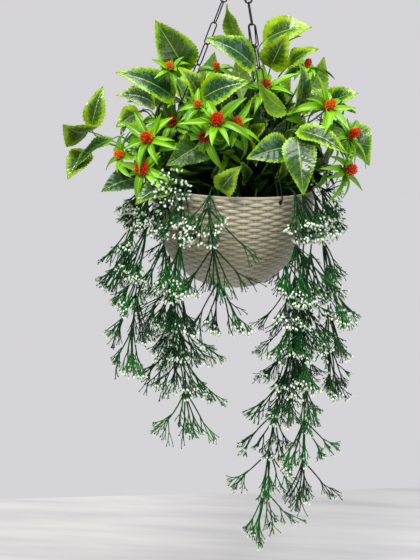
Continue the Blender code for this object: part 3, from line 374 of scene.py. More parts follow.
# Coleus: each stem has its crown, then its leaves as base, tip, width and the way the top faces.
COLEUS = [
    ((-62, -42, 118), [
        ((-70, -40, 160), (-115, -65, 230), 58, VIEWER),
        ((-85, -55, 125), (-165, -80, 160), 50, SLANT),
        ((-50, -60, 125), (-80, -85, 170), 40, RIGHTWARD),
        ((-55, -75, 130), (15, -100, 155), 50, SLANT),
    ]),
    ((-118, -32, 92), [
        ((-115, -30, 115), (-165, -55, 130), 42, SLANT),
        ((-135, -55, 105), (-165, -75, 85), 34, VIEWER),
        ((-132, -25, 105), (-160, -60, 72), 26, LEFTWARD),
    ]),
    ((-195, -8, 66), [
        ((-212, -10, 70), (-240, -62, 82), 62, Vector((-0.35, -0.75, 0.1))),
        ((-215, -10, 45), (-240, -45, 8), 40, VIEWER),
        ((-210, 0, 75), (-195, 10, 135), 34, VIEWER),
        ((-170, -28, 65), (-225, -30, 15), 34, SKY),
    ]),
    ((22, -5, 150), [
        ((25, -20, 170), (-45, -45, 210), 50, SLANT),
        ((10, 20, 195), (-20, -20, 255), 36, Vector((-0.9, 0.2, 0.5))),
        ((30, 25, 170), (75, 75, 215), 52, Vector((0.2, 0.5, 0.9))),
    ]),
    ((48, 8, 150), [
        ((35, 20, 205), (100, -10, 230), 56, Vector((0.1, -0.7, 0.55))),
        ((45, -15, 170), (65, -45, 220), 46, VIEWER),
        ((72, 0, 172), (110, -25, 200), 34, SLANT),
        ((55, 5, 150), (95, -30, 172), 40, SKY),
    ]),
    ((80, -42, 90), [
        ((80, -45, 105), (90, -65, 182), 44, RIGHTWARD),
        ((85, -35, 100), (130, -50, 125), 36, SLANT),
        ((75, -60, 105), (25, -85, 155), 44, LEFTWARD),
        ((85, -88, 82), (95, -135, 8), 48, VIEWER),
        ((88, -78, 85), (160, -110, 60), 38, SLANT),
    ]),
    ((125, 5, 92), [
        ((130, 0, 115), (168, -30, 142), 46, SLANT),
        ((155, 12, 88), (195, -28, 42), 56, Vector((0.3, -0.9, 0.3))),
        ((110, -20, 112), (132, -52, 130), 30, SLANT),
    ]),
    ((20, -60, 45), [
        ((65, -85, 65), (5, -135, 62), 50, SLANT),
        ((-15, -112, 5), (12, -148, 45), 36, VIEWER),
        ((-35, -70, 70), (-90, -118, 40), 50, VIEWER),
    ]),
    ((-78, -72, 18), [
        ((-85, -110, 12), (-130, -142, -8), 36, SLANT),
        ((-130, -75, 14), (-180, -110, 0), 44, SLANT),
    ]),
    ((-70, 62, 95), [
        ((-75, 65, 110), (-120, 105, 160), 56, Vector((-0.4, 0.4, 0.8))),
        ((-90, 55, 95), (-165, 75, 110), 52, Vector((-0.1, 0.6, 0.9))),
        ((-60, 85, 90), (-55, 150, 100), 50, Vector((0, 0.4, 0.9))),
        ((-60, 60, 120), (-35, 90, 185), 46, Vector((0.3, 0.9, 0.1))),
    ]),
    ((8, 72, 88), [
        ((10, 88, 98), (20, 158, 135), 56, Vector((0, 0.2, 1))),
        ((0, 85, 78), (-10, 150, 50), 44, Vector((-0.2, 0.8, 0.6))),
        ((12, 60, 110), (5, 95, 175), 48, Vector((0.1, 0.9, -0.1))),
    ]),
    ((98, 55, 105), [
        ((100, 60, 120), (130, 85, 185), 50, Vector((0.5, 0.8, 0.2))),
        ((110, 50, 100), (180, 70, 110), 52, Vector((0.1, 0.4, 0.9))),
        ((90, 65, 100), (80, 130, 160), 42, Vector((-0.3, 0.8, 0.5))),
    ]),
]

# Berry stems: a fork, then each head's place and the way it points.
BERRIES = [
    ((-28, -70, 50), [
        ((-25, -125, 105), (0.1, -0.8, 0.6)),
        ((-42, -112, 74), (-0.3, -0.9, -0.1)),
        ((2, -112, 98), (0.6, -0.6, 0.5)),
    ]),
    ((-92, -66, 30), [
        ((-120, -105, 75), (-0.3, -0.8, 0.5)),
        ((-125, -120, 35), (-0.2, -0.9, 0.1)),
        ((-160, -95, 50), (-0.8, -0.5, 0.3)),
    ]),
    ((-70, -45, 70), [
        ((-90, -62, 95), (-0.3, -0.8, 0.5)),
        ((-95, -70, 170), (-0.3, -0.5, 0.8)),
    ]),
    ((-18, -40, 95), [
        ((-52, -92, 135), (-0.2, -0.7, 0.6)),
        ((-30, -30, 172), (-0.1, -0.2, 1)),
    ]),
    ((62, -20, 90), [
        ((42, -38, 152), (0, -0.6, 0.8)),
        ((100, -15, 180), (0.3, -0.1, 0.9)),
        ((120, -62, 138), (0.5, -0.5, 0.7)),
    ]),
    ((118, -35, 38), [
        ((165, -50, 85), (0.7, -0.4, 0.6)),
        ((162, -75, 38), (0.9, -0.4, 0.1)),
    ]),
    ((-100, 35, 50), [
        ((-150, 60, 70), (-0.8, 0.4, 0.4)),
        ((-125, 95, 30), (-0.5, 0.8, 0.1)),
    ]),
    ((-5, 80, 55), [
        ((-25, 125, 85), (-0.2, 0.8, 0.5)),
        ((45, 130, 55), (0.3, 0.9, 0.2)),
    ]),
    ((92, 45, 45), [
        ((150, 45, 75), (0.9, 0.2, 0.4)),
    ]),
]

# Trailing strands: azimuth at the rim in degrees, lower end, number of sprays.
TRAILS = [
    (192, (-142, -62, -82), 2),
    (207, (-135, -95, -195), 4),
    (223, (-58, -95, -290), 5),
    (239, (-75, -118, -215), 4),
    (256, (-15, -128, -118), 2),
    (312, (95, -108, -248), 5),
    (319, (118, -98, -390), 6),
    (331, (66, -72, -452), 7),
    (347, (150, -50, -225), 4),
    (54, (102, 108, -290), 5),
    (128, (-90, 115, -255), 4),
]

# %% [markdown]
# ## Leaf surfaces
# A coleus leaf is an arched, slightly folded sheet. One function maps a share of its length and a share
# of its half width to a place, so that the solid, the room it needs and the fine leaf all agree.

# %% Leaf and branch shapes
def leaf_axes(base, tip, face):
    along = (tip - base).normalized()
    across = along.cross(face).normalized()
    return along, across, across.cross(along)


def ovate(share):
    """Half width of a coleus leaf at a share of its length: broad and round at the base."""
    return math.sin(math.pi * share ** 0.62) ** 0.85


def leaf_surface(base, tip, width, face):
    """Gives the function that maps share along and share across to a place on the leaf."""
    length = (tip - base).length
    along, across, normal = leaf_axes(base, tip, face)

    def place(share, side):
        half = width / 2 * ovate(share)
        lift = length * 0.1 * math.sin(math.pi * share) + half * 0.22 * min(abs(side), 1)
        return base + along * share * length + across * half * side + normal * lift

    return place, normal


def blade_test(base, tip, width, face, first):
    """The room that a blade needs, from a first share of its length to its tip, as two sheets."""
    place, normal = leaf_surface(base, tip, width, face)
    points = []
    faces = []
    for lift in (TEST_MARGIN, -TEST_MARGIN):
        start = len(points)
        for share in (first, 0.3, 0.55, 0.8):
            for side in (-1.12, 0, 1.12):
                points.append(place(share, side) + normal * lift)
        points.append(place(1, 0) + (tip - base).normalized() * TEST_MARGIN + normal * lift)
        for row in range(3):
            low = start + row * 3
            faces += [(low, low + 1, low + 4, low + 3), (low + 1, low + 2, low + 5, low + 4)]
        faces += [(start + 9, start + 10, start + 12), (start + 10, start + 11, start + 12)]
    return points, faces


def bezier(a, b, c, d, steps):
    points = []
    for step in range(steps + 1):
        t = step / steps
        s = 1 - t
        points.append(a * s ** 3 + b * 3 * s * s * t + c * 3 * s * t * t + d * t ** 3)
    return points


def whorl_frame(axis):
    side = axis.cross(Vector((0.21, 0.33, 0.92))).normalized()
    return side, axis.cross(side)


def lance_path(foot, axis, number, open_angle, scale):
    """Where one lance leaf of a whorl runs: places at shares of its length, and its cross direction."""
    side, other = whorl_frame(axis)
    angle = math.tau * (number + 0.5) / WHORL_LEAVES
    outward = side * math.cos(angle) + other * math.sin(angle)
    across = axis.cross(outward).normalized()

    def place(share):
        turn = open_angle + LANCE_DROOP * share
        along = outward * math.sin(turn) + axis * math.cos(turn)
        return foot + outward * HUB_RADIUS + along * LANCE_LENGTH * scale * share

    return place, across


def lance_test(foot, axis, number, open_angle, scale):
    """The room that one lance leaf needs, as a thin strip on its upper side and one below."""
    place, across = lance_path(foot, axis, number, open_angle, scale)
    half = LANCE_WIDTH / 2 * scale
    points = []
    for share, width in ((0.18, 0.7), (LANCE_WIDEST, 1.2), (1.03, 0.2)):
        middle = place(share)
        up = across.cross(place(1) - foot).normalized()
        for lift in (-1, 1):
            points.append(middle - across * half * width + up * LANCE_KEEL * lift)
            points.append(middle + across * half * width + up * LANCE_KEEL * lift)
    faces = []
    for step in (0, 4):
        faces += [(step, step + 1, step + 5, step + 4), (step + 2, step + 3, step + 7, step + 6)]
        faces += [(step, step + 2, step + 6, step + 4), (step + 1, step + 3, step + 7, step + 5)]
    return points, faces

# %% [markdown]
# ## Finding room
# No two plants may cross. Each new stem or leaf is tested against all that stands, and shaken a little
# until it is free.

# %% Room
class Room:
    """Holds a test shape for each thing placed, with its owner and its kind."""

    def __init__(self):
        self.shapes = []

    def measure(self, shape):
        points, faces = shape
        low = [min(point[axis] for point in points) for axis in range(3)]
        high = [max(point[axis] for point in points) for axis in range(3)]
        return BVHTree.FromPolygons(points, faces), low, high

    def add(self, owner, kind, shape):
        self.shapes.append((owner, kind, self.measure(shape)))

    def free(self, owner, shape, own_kinds=()):
        """True where a shape meets nothing of another owner, nor the given kinds of its own."""
        tree, low, high = self.measure(shape)
        for other, kind, (other_tree, other_low, other_high) in self.shapes:
            if other == owner and kind not in own_kinds:
                continue
            if any(low[axis] > other_high[axis] or high[axis] < other_low[axis] for axis in range(3)):
                continue
            if tree.overlap(other_tree):
                return False
        return True


def random_push(draw):
    return Vector((draw.uniform(-1, 1), draw.uniform(-1, 1), draw.uniform(-1, 1)))


def shaken(direction, amount, draw):
    """The direction turned by up to the given amount."""
    return (direction.normalized() + random_push(draw) * amount).normalized()


def wall_radius(depth):
    """Outer radius of the bowl at a depth below the rim."""
    share = min(max(depth / BOWL_DEPTH, 0), 1)
    return FOOT_RADIUS + (RIM_RADIUS - FOOT_RADIUS) * (1 - share ** 2.4) ** 0.62


def chain_ends(name):
    """Upper and lower arc centres of a chain, and its first and last cross directions."""
    azimuth = math.radians(CHAIN_AZIMUTHS[name])
    outward = Vector((math.cos(azimuth), math.sin(azimuth), 0))
    lower = outward * RIM_LINK_RADIUS + UP * (RIM_Z - RIM_LINK_DROP)
    turn = math.radians(EYE_PLACES[name])
    wire = Vector((math.sin(turn), 0, -math.cos(turn))) * EYE_RADIUS + UP * EYE_Z
    along = (lower - wire).normalized()
    upper = wire + along * (LINK_HALF_WIDTH - CHAIN_WIRE - HOOK_WIRE - EYE_GAP)
    tangent = Vector((math.cos(turn), 0, math.sin(turn)))
    first = tangent.cross(along).normalized()
    last = (outward - along * outward.dot(along)).normalized()
    return upper, lower, first, last


def add_obstacles(room):
    """The bowl and the chains, a little larger than they are."""
    depths = [BOWL_DEPTH * share for share in (0, 0.3, 0.55, 0.75, 0.9, 1)]
    path = [Vector((0, 0, RIM_Z - depth)) for depth in depths]
    points, faces = tube(path, [wall_radius(depth) + BOWL_MARGIN for depth in depths], 20)
    open_top = faces[:-1]
    room.add("bowl", "wall", (points, open_top))
    for name in CHAIN_AZIMUTHS:
        upper, lower, first, last = chain_ends(name)
        reach = (lower - upper).normalized() * CHAIN_MARGIN
        room.add(name, "chain", tube([upper - reach, lower + reach], [CHAIN_MARGIN] * 2, 8))

# %% The plans
def hole_places(crowns, ring):
    """Holes evenly round a ring, in the order in which the crowns stand round the bowl."""
    angles = [math.atan2(crown[1], crown[0]) for crown in crowns]
    order = sorted(range(len(crowns)), key=lambda number: angles[number])
    step = math.tau / len(crowns)
    across = sum(math.sin(angles[number] - place * step) for place, number in enumerate(order))
    ahead = sum(math.cos(angles[number] - place * step) for place, number in enumerate(order))
    offset = math.atan2(across, ahead)
    holes = [None] * len(crowns)
    for place, number in enumerate(order):
        angle = place * step + offset
        holes[number] = Vector((ring * math.cos(angle), ring * math.sin(angle), RIM_Z - FOAM_DROP))
    return holes


def fit_stem(room, owner, hole, crown, draw):
    """A stem from its depth in the foam up to its crown, bent aside until it is clear of the others."""
    reach = (crown - hole).length
    for attempt in range(60):
        bulge = random_push(draw) * 0.6 * MM * attempt
        bulge.z = 0
        path = bezier(hole, hole + UP * reach * 0.45 + bulge, crown - UP * reach * 0.2 + bulge * 0.5, crown, 5)
        shape = tube(path, [STEM_RADIUS * 1.5] * len(path), 4)
        if room.free(owner, shape):
            room.add(owner, "stem", shape)
            return [hole - UP * STEM_DEPTH] + path
    raise ValueError("no room for " + owner)


def point_at(path, share):
    """The place at a share of a path's length."""
    lengths = [(b - a).length for a, b in zip(path, path[1:])]
    left = sum(lengths) * share
    for a, b, length in zip(path, path[1:], lengths):
        if left <= length:
            return a.lerp(b, left / length)
        left -= length
    return path[-1].copy()


def plan_leaf(room, owner, start, wanted, draw):
    """Places one coleus leaf with its stalk, turning it a little where it would cross something."""
    base, tip, width, face = wanted
    base = spot(*base)
    tip = spot(*tip)
    for attempt in range(120):
        shrink = 1 - 0.002 * attempt
        foot = base + random_push(draw) * 0.4 * MM * attempt
        end = foot + shaken(tip - base, 0.007 * attempt, draw) * (tip - base).length * shrink
        upward = shaken(face, 0.012 * attempt, draw)
        broad = width * MM * shrink
        lift = (foot - start).length * 0.35
        away = (end - foot).normalized()
        leave = (UP * 0.4 + (foot - start).normalized() * 0.8) * lift
        stalk = bezier(start, start + leave, foot - away * lift, foot, 3)
        blade = blade_test(foot, end, broad, upward, 0.1)
        full_blade = blade_test(foot, end, broad, upward, 0.03)
        whole = tube(stalk, [PETIOLE_RADIUS * 1.6] * 4, 3)
        arm = tube([start.lerp(stalk[1], 0.3)] + stalk[1:], [PETIOLE_RADIUS * 1.6] * 4, 3)
        if not room.free(owner, whole) or not room.free(owner, full_blade):
            continue
        if room.free(owner, blade, ("blade", "stem", "stalk")) and room.free(owner, arm, ("blade", "stalk")):
            room.add(owner, "blade", blade)
            room.add(owner, "stalk", arm)
            room.add(owner, "whole", whole)
            room.add(owner, "whole", full_blade)
            return foot, end, broad, upward, stalk
    return None


def plan_coleus(room, draw):
    plans = []
    holes = hole_places([crown for crown, leaves in COLEUS], COLEUS_RING)
    for number, (crown, leaves) in enumerate(COLEUS):
        owner = f"coleus_{number + 1}"
        path = fit_stem(room, owner, holes[number], spot(*crown), draw)
        plans.append({"name": owner, "stem": path, "hole": holes[number], "leaves": []})
    for plan, (crown, leaves) in zip(plans, COLEUS):
        for order, wanted in enumerate(leaves):
            share = 0.96 - 0.3 * order / len(leaves)
            found = plan_leaf(room, plan["name"], point_at(plan["stem"], share), wanted, draw)
            if found is None:
                print("no room for leaf", order, "of", plan["name"])
            else:
                plan["leaves"].append((share, found))
    return plans


def plan_berries(room, draw):
    plans = []
    holes = hole_places([fork for fork, heads in BERRIES], BERRY_RING)
    for number, (fork, heads) in enumerate(BERRIES):
        owner = f"berry_stem_{number + 1}"
        path = fit_stem(room, owner, holes[number], spot(*fork), draw)
        plan = {"name": owner, "stem": path, "hole": holes[number], "heads": []}
        for order, (place, axis) in enumerate(heads):
            share = 0.95 - 0.38 * order / len(heads)
            start = point_at(path, share)
            found = plan_head(room, owner, start, spot(*place), Vector(axis).normalized(), draw)
            if found is None:
                print("no room for head", order, "of", owner)
            else:
                found["share"] = share
                plan["heads"].append(found)
        plans.append(plan)
    return plans


def plan_head(room, owner, start, place, axis, draw):
    """Places one head, its branch and the lance leaves under it."""
    own = ("head", "stem", "stalk")
    for attempt in range(90):
        centre = place + random_push(draw) * 0.7 * MM * attempt
        way = shaken(axis, 0.008 * attempt, draw)
        foot = centre - way * (HEAD_RADIUS + HUB_HALF_HEIGHT + GAP)
        reach = (foot - start).length
        leave = (UP * 0.4 + (foot - start).normalized() * 0.8) * reach * 0.3
        branch = bezier(start, start + leave, foot - way * reach * 0.35, foot, 4)
        arm = tube([start.lerp(branch[1], 0.4)] + branch[1:], [BRANCH_RADIUS * 1.5] * 5, 4)
        core = [centre - way * HEAD_RADIUS, centre, centre + way * HEAD_RADIUS]
        ball = tube(core, [HEAD_RADIUS * 0.7, HEAD_RADIUS * 1.12, HEAD_RADIUS * 0.7], 7)
        whole = tube(branch, [BRANCH_RADIUS * 1.5] * 5, 4)
        if not room.free(owner, whole) or not room.free(owner, ball, own + ("lance",)):
            continue
        if room.free(owner, arm, ("head", "stalk", "lance")):
            break
    else:
        return None
    room.add(owner, "stalk", arm)
    room.add(owner, "whole", whole)
    leaves = []
    for number in range(WHORL_LEAVES):
        chosen = (1.0, None)
        for attempt in range(14):
            wished = draw.uniform(0.95, 1.35) + (attempt % 3 - 1) * 0.07 * attempt
            open_angle = max(wished, LEAST_OPEN)
            scale = draw.uniform(0.75, 1.1) * (1 - 0.035 * attempt)
            shape = lance_test(foot, way, number, open_angle, scale)
            if room.free(owner, shape, own + ("lance",)):
                chosen = (open_angle, scale)
                room.add(owner, "lance", shape)
                break
        leaves.append(chosen)
    room.add(owner, "head", ball)
    return {"centre": centre, "axis": way, "foot": foot, "branch": branch, "leaves": leaves}


def trail_path(azimuth, end, sprays):
    """A strand: out of its hole in the foam, over the rim and down to its end."""
    outward = Vector((math.cos(azimuth), math.sin(azimuth), 0))
    hole = outward * TRAIL_RING + UP * (RIM_Z - FOAM_DROP)
    crest = outward * (RIM_RADIUS - 2 * MM) + UP * (RIM_Z + TRAIL_TOP)
    fall = outward * TRAIL_OUT + UP * (RIM_Z - 14 * MM)
    over = bezier(hole, hole + UP * 16 * MM, crest - outward * 12 * MM + UP * 2 * MM, crest, 3)
    lip = bezier(crest, crest + outward * 9 * MM, fall + UP * 12 * MM, fall, 2)[1:]
    drop = fall.z - end.z
    hang = bezier(fall, fall - UP * drop * 0.4, end + UP * drop * 0.35, end, sprays)[1:]
    return hole, over, lip + hang


def plan_twig(room, owner, start, way, length, draw, own_kinds, kept):
    """Places one twig, turned a little where it would cross something; it blocks room up to a share of it."""
    for attempt in range(20):
        heading = shaken(way, 0.04 * attempt, draw)
        end = start + heading * length * (1 - 0.02 * attempt)
        test = tube([start.lerp(end, 0.12), start.lerp(end, 1.03)], [1.6 * MM, 2.1 * MM], 3)
        if room.free(owner, test, own_kinds):
            room.add(owner, "whole", tube([start, start.lerp(end, 1.03)], [1.6 * MM, 2.1 * MM], 3))
            room.add(owner, "twig", tube([start.lerp(end, 0.12), start.lerp(end, kept)], [1.6 * MM] * 2, 3))
            return start, end
    return None


def plan_trails(room, draw):
    plans = []
    for number, (degrees, end, sprays) in enumerate(TRAILS):
        owner = f"trail_{number + 1}"
        for attempt in range(80):
            azimuth = math.radians(degrees + draw.uniform(-1, 1) * 0.06 * attempt)
            drift = random_push(draw) * 0.8 * MM * attempt
            hole, inner, outer = trail_path(azimuth, spot(*end) + drift, sprays)
            inner_test = tube(inner, [TRAIL_RADIUS * 1.6] * len(inner), 4)
            outer_test = tube(outer, [TRAIL_RADIUS * 1.6] * len(outer), 4)
            if room.free(owner, inner_test) and room.free(owner, outer_test):
                break
        else:
            print("no room for", owner)
            continue
        room.add(owner, "stem", inner_test)
        room.add(owner, "stem", outer_test)
        path = [hole - UP * STEM_DEPTH] + inner + outer
        plan = {"name": owner, "stem": path, "hole": hole, "sprays": {}}
        for index in range(len(path) - sprays, len(path)):
            down = path[min(index + 1, len(path) - 1)] - path[index - 1]
            plan["sprays"][index] = plan_spray(room, owner, path[index], down.normalized(), draw)
        plans.append(plan)
    return plans


def plan_spray(room, owner, node, down, draw):
    """One spray: two branches that fan out and down from a place on the strand, each with its forks."""
    outward = Vector((node.x, node.y, 0)).normalized()
    across = down.cross(outward).normalized()
    beside_bowl = RIM_Z - node.z < BOWL_DEPTH
    branches = []
    for hand in (-1, 1):
        lean = draw.uniform(0.1, 0.5) if beside_bowl else draw.uniform(-0.5, 0.5)
        way = down * 0.85 + across * hand * draw.uniform(0.35, 0.75) + outward * lean
        main = plan_twig(room, owner, node, way, draw.uniform(44, 56) * MM, draw, ("twig",), 0.78)
        if main is None:
            continue
        start, end = main
        heading = (end - start).normalized()
        forks = []
        for fork in range(2 if hand == 1 else 1):
            spin = across * draw.uniform(0.45, 0.7) * (1 if fork else -1) + outward * draw.uniform(-0.2, 0.4)
            place = end if fork == 0 else start.lerp(end, KNEE)
            length = draw.uniform(32, 42) * MM
            found = plan_twig(room, owner, place, heading + spin, length, draw, ("stem", "twig"), 1.03)
            if found is not None:
                forks.append((fork, found))
        branches.append((start, end, forks))
    return branches


everything = Room()
add_obstacles(everything)
coleus_plans = plan_coleus(everything, random.Random(SEED))
berry_plans = plan_berries(everything, random.Random(SEED + 1))
trail_plans = plan_trails(everything, random.Random(SEED + 2))
print("coleus leaves:", sum(len(plan["leaves"]) for plan in coleus_plans),
      "heads:", sum(len(plan["heads"]) for plan in berry_plans), "strands:", len(trail_plans))

# %% [markdown]
# ## The woven bowl
# The bowl is moulded in one piece to look like woven cane: flat strands go over one stake and behind
# the next, and each row is shifted by one stake. A turned shell whose radius follows a formula gives
# this relief in real geometry. Modelling every strand as its own ribbon would cost ten times the faces.

# %% Bowl finish
bowl_finish = Finish("woven_look_plastic", 0.38)
shade = bowl_finish.noise(14, 3)
fine = bowl_finish.noise(900, 2)
base = bowl_finish.mix(bowl_finish.ramp(shade, 0.3, 0.7), rgb(176, 168, 140), rgb(196, 190, 166))
# Painted shade: the tint map is low in the weave's grooves, and there the colour goes to a dark beige.
groove_shade = bowl_finish.add("SeparateXYZ", {0: bowl_finish.uv("tint")})
base = bowl_finish.mix(bowl_finish.ramp(groove_shade, 0.0, 1.0), rgb(118, 110, 84), base)
bowl_finish.set("Base Color", base)
bowl_finish.set("Coat Weight", 0.35)
bowl_finish.set("Coat Roughness", 0.25)
bowl_finish.bump(fine, 0.25, 0.0003)

# %% Bowl shape
STAKES = 44
STAKE_SAMPLES = 8
BAND_HEIGHT = 4 * MM
WEAVE_ROWS = 33
ROW_SAMPLES = 5
FLOAT_RELIEF = 0.85 * MM
ROW_ROUND = 0.8 * MM


def weave_height(column, row):
    """How far the woven surface stands out at a place, in columns of stakes and rows of strands."""
    number = math.floor(row)
    within = row - number
    wave = math.cos(math.pi * (column + number))
    strand = FLOAT_RELIEF * wave + ROW_ROUND * (1 - (2 * within - 1) ** 2) ** 0.5
    off = abs(column - round(column))
    stake = 0.25 * MM - max(off - 0.07, 0) * 14 * MM + 0.15 * MM * math.cos(off * 44)
    return max(strand, stake) - ROW_ROUND


def bowl_rings():
    """The bowl's profile from the inside bottom over the rim down to the foot, as depth and radius pairs."""
    rings = []
    for share in (0.96, 0.9, 0.82, 0.72, 0.6, 0.45, 0.3, 0.15, 0.04):
        rings.append(("plain", BOWL_DEPTH * share, wall_radius(BOWL_DEPTH * share) - WALL))
    for step in range(7):
        angle = math.pi * step / 6
        middle = RIM_RADIUS - WALL / 2
        rings.append(("plain", WALL / 2 * (1 - math.sin(angle)), middle - WALL / 2 * math.cos(angle)))
    rings.append(("plain", BAND_HEIGHT - 0.8 * MM, RIM_RADIUS))
    rings.append(("plain", BAND_HEIGHT, RIM_RADIUS - 0.5 * MM))
    total = BOWL_DEPTH - BAND_HEIGHT - 3 * MM
    for step in range(WEAVE_ROWS * ROW_SAMPLES + 1):
        row = step / ROW_SAMPLES
        depth = BAND_HEIGHT + 0.4 * MM + total * (row / WEAVE_ROWS) ** 0.97
        rings.append((row, depth, wall_radius(depth)))
    rings.append(("plain", BOWL_DEPTH, FOOT_RADIUS))
    rings.append(("plain", BOWL_DEPTH - 1.5 * MM, FOOT_RADIUS - 4 * MM))
    return rings


def make_bowl():
    store = Store()
    steps = STAKES * STAKE_SAMPLES
    grid = []
    for kind, depth, radius in bowl_rings():
        ring = []
        for step in range(steps):
            angle = math.tau * step / steps
            column = step / STAKE_SAMPLES
            lift = 0.0 if kind == "plain" else weave_height(column, kind + 1e-6)
            reach = radius + lift
            place = Vector((reach * math.cos(angle), reach * math.sin(angle), RIM_Z - depth))
            # Painted shade: the deeper a point lies in the weave's grooves, the lower its tint.
            tone = 0.8 if kind == "plain" else min(max(0.75 + lift / (2 * MM), 0), 1)
            ring.append(store.point(place, step / steps, depth / BOWL_DEPTH, (tone, 0.5)))
        grid.append(ring)
    for low, high in zip(grid, grid[1:]):
        for step in range(steps):
            after = (step + 1) % steps
            store.face((low[step], high[step], high[after], low[after]))
    store.face(tuple(grid[0]))
    store.face(tuple(reversed(grid[-1])))
    return store.make("woven_bowl", [bowl_finish], 55)


bowl = make_bowl()
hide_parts("bowl")
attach(bowl, "root")
print("bowl faces:", len(bowl.data.polygons))

# %% [markdown]
# The lowest link of each chain passes through a round hole just under the rim band. A Boolean cuts
# the three holes, as a drill would.

# %% Holes for the chains
def outward_at(degrees):
    return Vector((math.cos(math.radians(degrees)), math.sin(math.radians(degrees)), 0))


drills = Store()
for degrees in CHAIN_AZIMUTHS.values():
    way = outward_at(degrees)
    height = UP * (RIM_Z - RIM_HOLE_DROP)
    ends = [way * (RIM_RADIUS - 10 * MM) + height, way * (RIM_RADIUS + 6 * MM) + height]
    sweep(drills, ends, [RIM_HOLE_RADIUS] * 2, 24)
drill = drills.make("drill", [bowl_finish])
cut = bowl.modifiers.new("holes", "BOOLEAN")
cut.object = drill
cut.operation = "DIFFERENCE"
cut.solver = "MANIFOLD"
bpy.context.view_layer.update()
cut_mesh = bpy.data.meshes.new_from_object(bowl.evaluated_get(bpy.context.evaluated_depsgraph_get()))
print("faces before and after the holes:", len(bowl.data.polygons), len(cut_mesh.polygons))
bowl.modifiers.clear()
bowl.data = cut_mesh
bpy.data.objects.remove(drill)

# %% [markdown]
# ## Foam
# The bowl is filled with dark foam that the stems are pushed into. The solid already has the right
# shape, so it keeps it and gets a dark, open-celled finish.

# %% Foam finish
foam_finish = Finish("dark_foam", 0.95)
cells = foam_finish.add("TexVoronoi", {"Scale": 420.0, "Vector": foam_finish.place()})
crumbs = foam_finish.noise(90, 4)
foam_finish.set("Base Color", foam_finish.mix(crumbs, rgb(16, 20, 12), rgb(46, 50, 30)))
foam_finish.bump(cells, 0.8, 0.0012)
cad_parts["foam"].data.materials.clear()
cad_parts["foam"].data.materials.append(foam_finish.material)

# %% [markdown]
# ## Chains and hook
# Each chain is eleven long oval links of round black wire, every link turned by a quarter from the
# last. The solids have square wire, so each link is drawn again with a round section and round ends.

# %% Black wire finish
wire_finish = Finish("black_wire", 0.34, 0.85)
scratch = wire_finish.noise(500, 3)
wire_finish.set("Base Color", wire_finish.mix(scratch, rgb(26, 26, 28), rgb(58, 58, 60)))
wire_finish.bump(scratch, 0.15, 0.0002)

# %% Links
LINK_ARC = 9
WIRE_SIDES = 8


def closed_sweep(store, path, radius, sides):
    """Adds a ring of round wire along a flat closed path."""
    count = len(path)
    middle = sum(path, Vector()) / count
    plane = (path[count // 4] - path[0]).cross(path[count // 2] - path[0]).normalized()
    rings = []
    for index, place in enumerate(path):
        along = (path[(index + 1) % count] - path[index - 1]).normalized()
        outward = along.cross(plane)
        ring = []
        for step in range(sides):
            angle = math.tau * step / sides
            offset = outward * math.cos(angle) + plane * math.sin(angle)
            ring.append(store.point(place + offset * radius, step / sides, index / count))
        rings.append(ring)
    for index in range(count):
        low = rings[index]
        high = rings[(index + 1) % count]
        for step in range(sides):
            after = (step + 1) % sides
            store.face((low[step], low[after], high[after], high[step]))


def draw_chain(name):
    upper, lower, first, last = chain_ends(name)
    along = (lower - upper).normalized()
    inner = LINK_HALF_WIDTH - CHAIN_WIRE * math.cos(math.radians(30))
    step_in = 2 * inner + LINK_SINK
    straight = ((lower - upper).length - (LINKS - 1) * step_in) / LINKS
    first = (first - along * first.dot(along)).normalized()
    other = along.cross(first)
    turned = math.atan2(last.dot(other), last.dot(first))
    slack = (turned - (LINKS - 1) * math.pi / 2 + math.pi / 2) % math.pi - math.pi / 2
    quarter = math.pi / 2 + slack / (LINKS - 1)
    store = Store()
    place = upper
    for number in range(LINKS):
        across = first * math.cos(quarter * number) + other * math.sin(quarter * number)
        end = place + along * straight
        loop = []
        for step in range(LINK_ARC):
            angle = math.pi * step / (LINK_ARC - 1)
            loop.append(place + (across * math.cos(angle) - along * math.sin(angle)) * LINK_HALF_WIDTH)
        for step in range(LINK_ARC):
            angle = math.pi * step / (LINK_ARC - 1)
            loop.append(end - (across * math.cos(angle) - along * math.sin(angle)) * LINK_HALF_WIDTH)
        closed_sweep(store, loop, CHAIN_WIRE * 1.08, WIRE_SIDES)
        place = end + along * step_in
    chain = store.make(name + "_links", [wire_finish], 0)
    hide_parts(name)
    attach(chain, "root")
    print(name, "link length", round((straight + 2 * LINK_HALF_WIDTH) / MM, 1), "mm")


for chain_name in CHAIN_AZIMUTHS:
    draw_chain(chain_name)

# %% Hook
def draw_hook():
    middle = Vector((0, 0, -(CROOK_RADIUS - HOOK_WIRE)))
    path = [Vector((0, 0, EYE_Z + EYE_RADIUS - 1 * MM)), Vector((0, 0, -56 * MM)), Vector((0, 0, -50 * MM)),
            Vector((2 * MM, 0, -40 * MM)), Vector((8.5 * MM, 0, -30 * MM))]
    for step in range(16):
        angle = math.radians(-22 + 222 * step / 15)
        path.append(middle + Vector((math.cos(angle), 0, math.sin(angle))) * CROOK_RADIUS)
    path = smooth_path(path, 3)
    store = Store()
    last = (path[-1] - path[-2]).normalized()
    path += [path[-1] + last * HOOK_WIRE * 0.7, path[-1] + last * HOOK_WIRE]
    radii = [HOOK_WIRE] * (len(path) - 2) + [HOOK_WIRE * 0.7, HOOK_WIRE * 0.15]
    sweep(store, path, radii, 12)
    centre = Vector((0, 0, EYE_Z))
    ring = []
    for step in range(36):
        angle = math.tau * step / 36
        ring.append(centre + Vector((math.cos(angle), 0, math.sin(angle))) * EYE_RADIUS)
    closed_sweep(store, ring, HOOK_WIRE, 12)
    hook = store.make("wire_hook", [wire_finish], 60)
    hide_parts("hook")
    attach(hook, "root")


draw_hook()

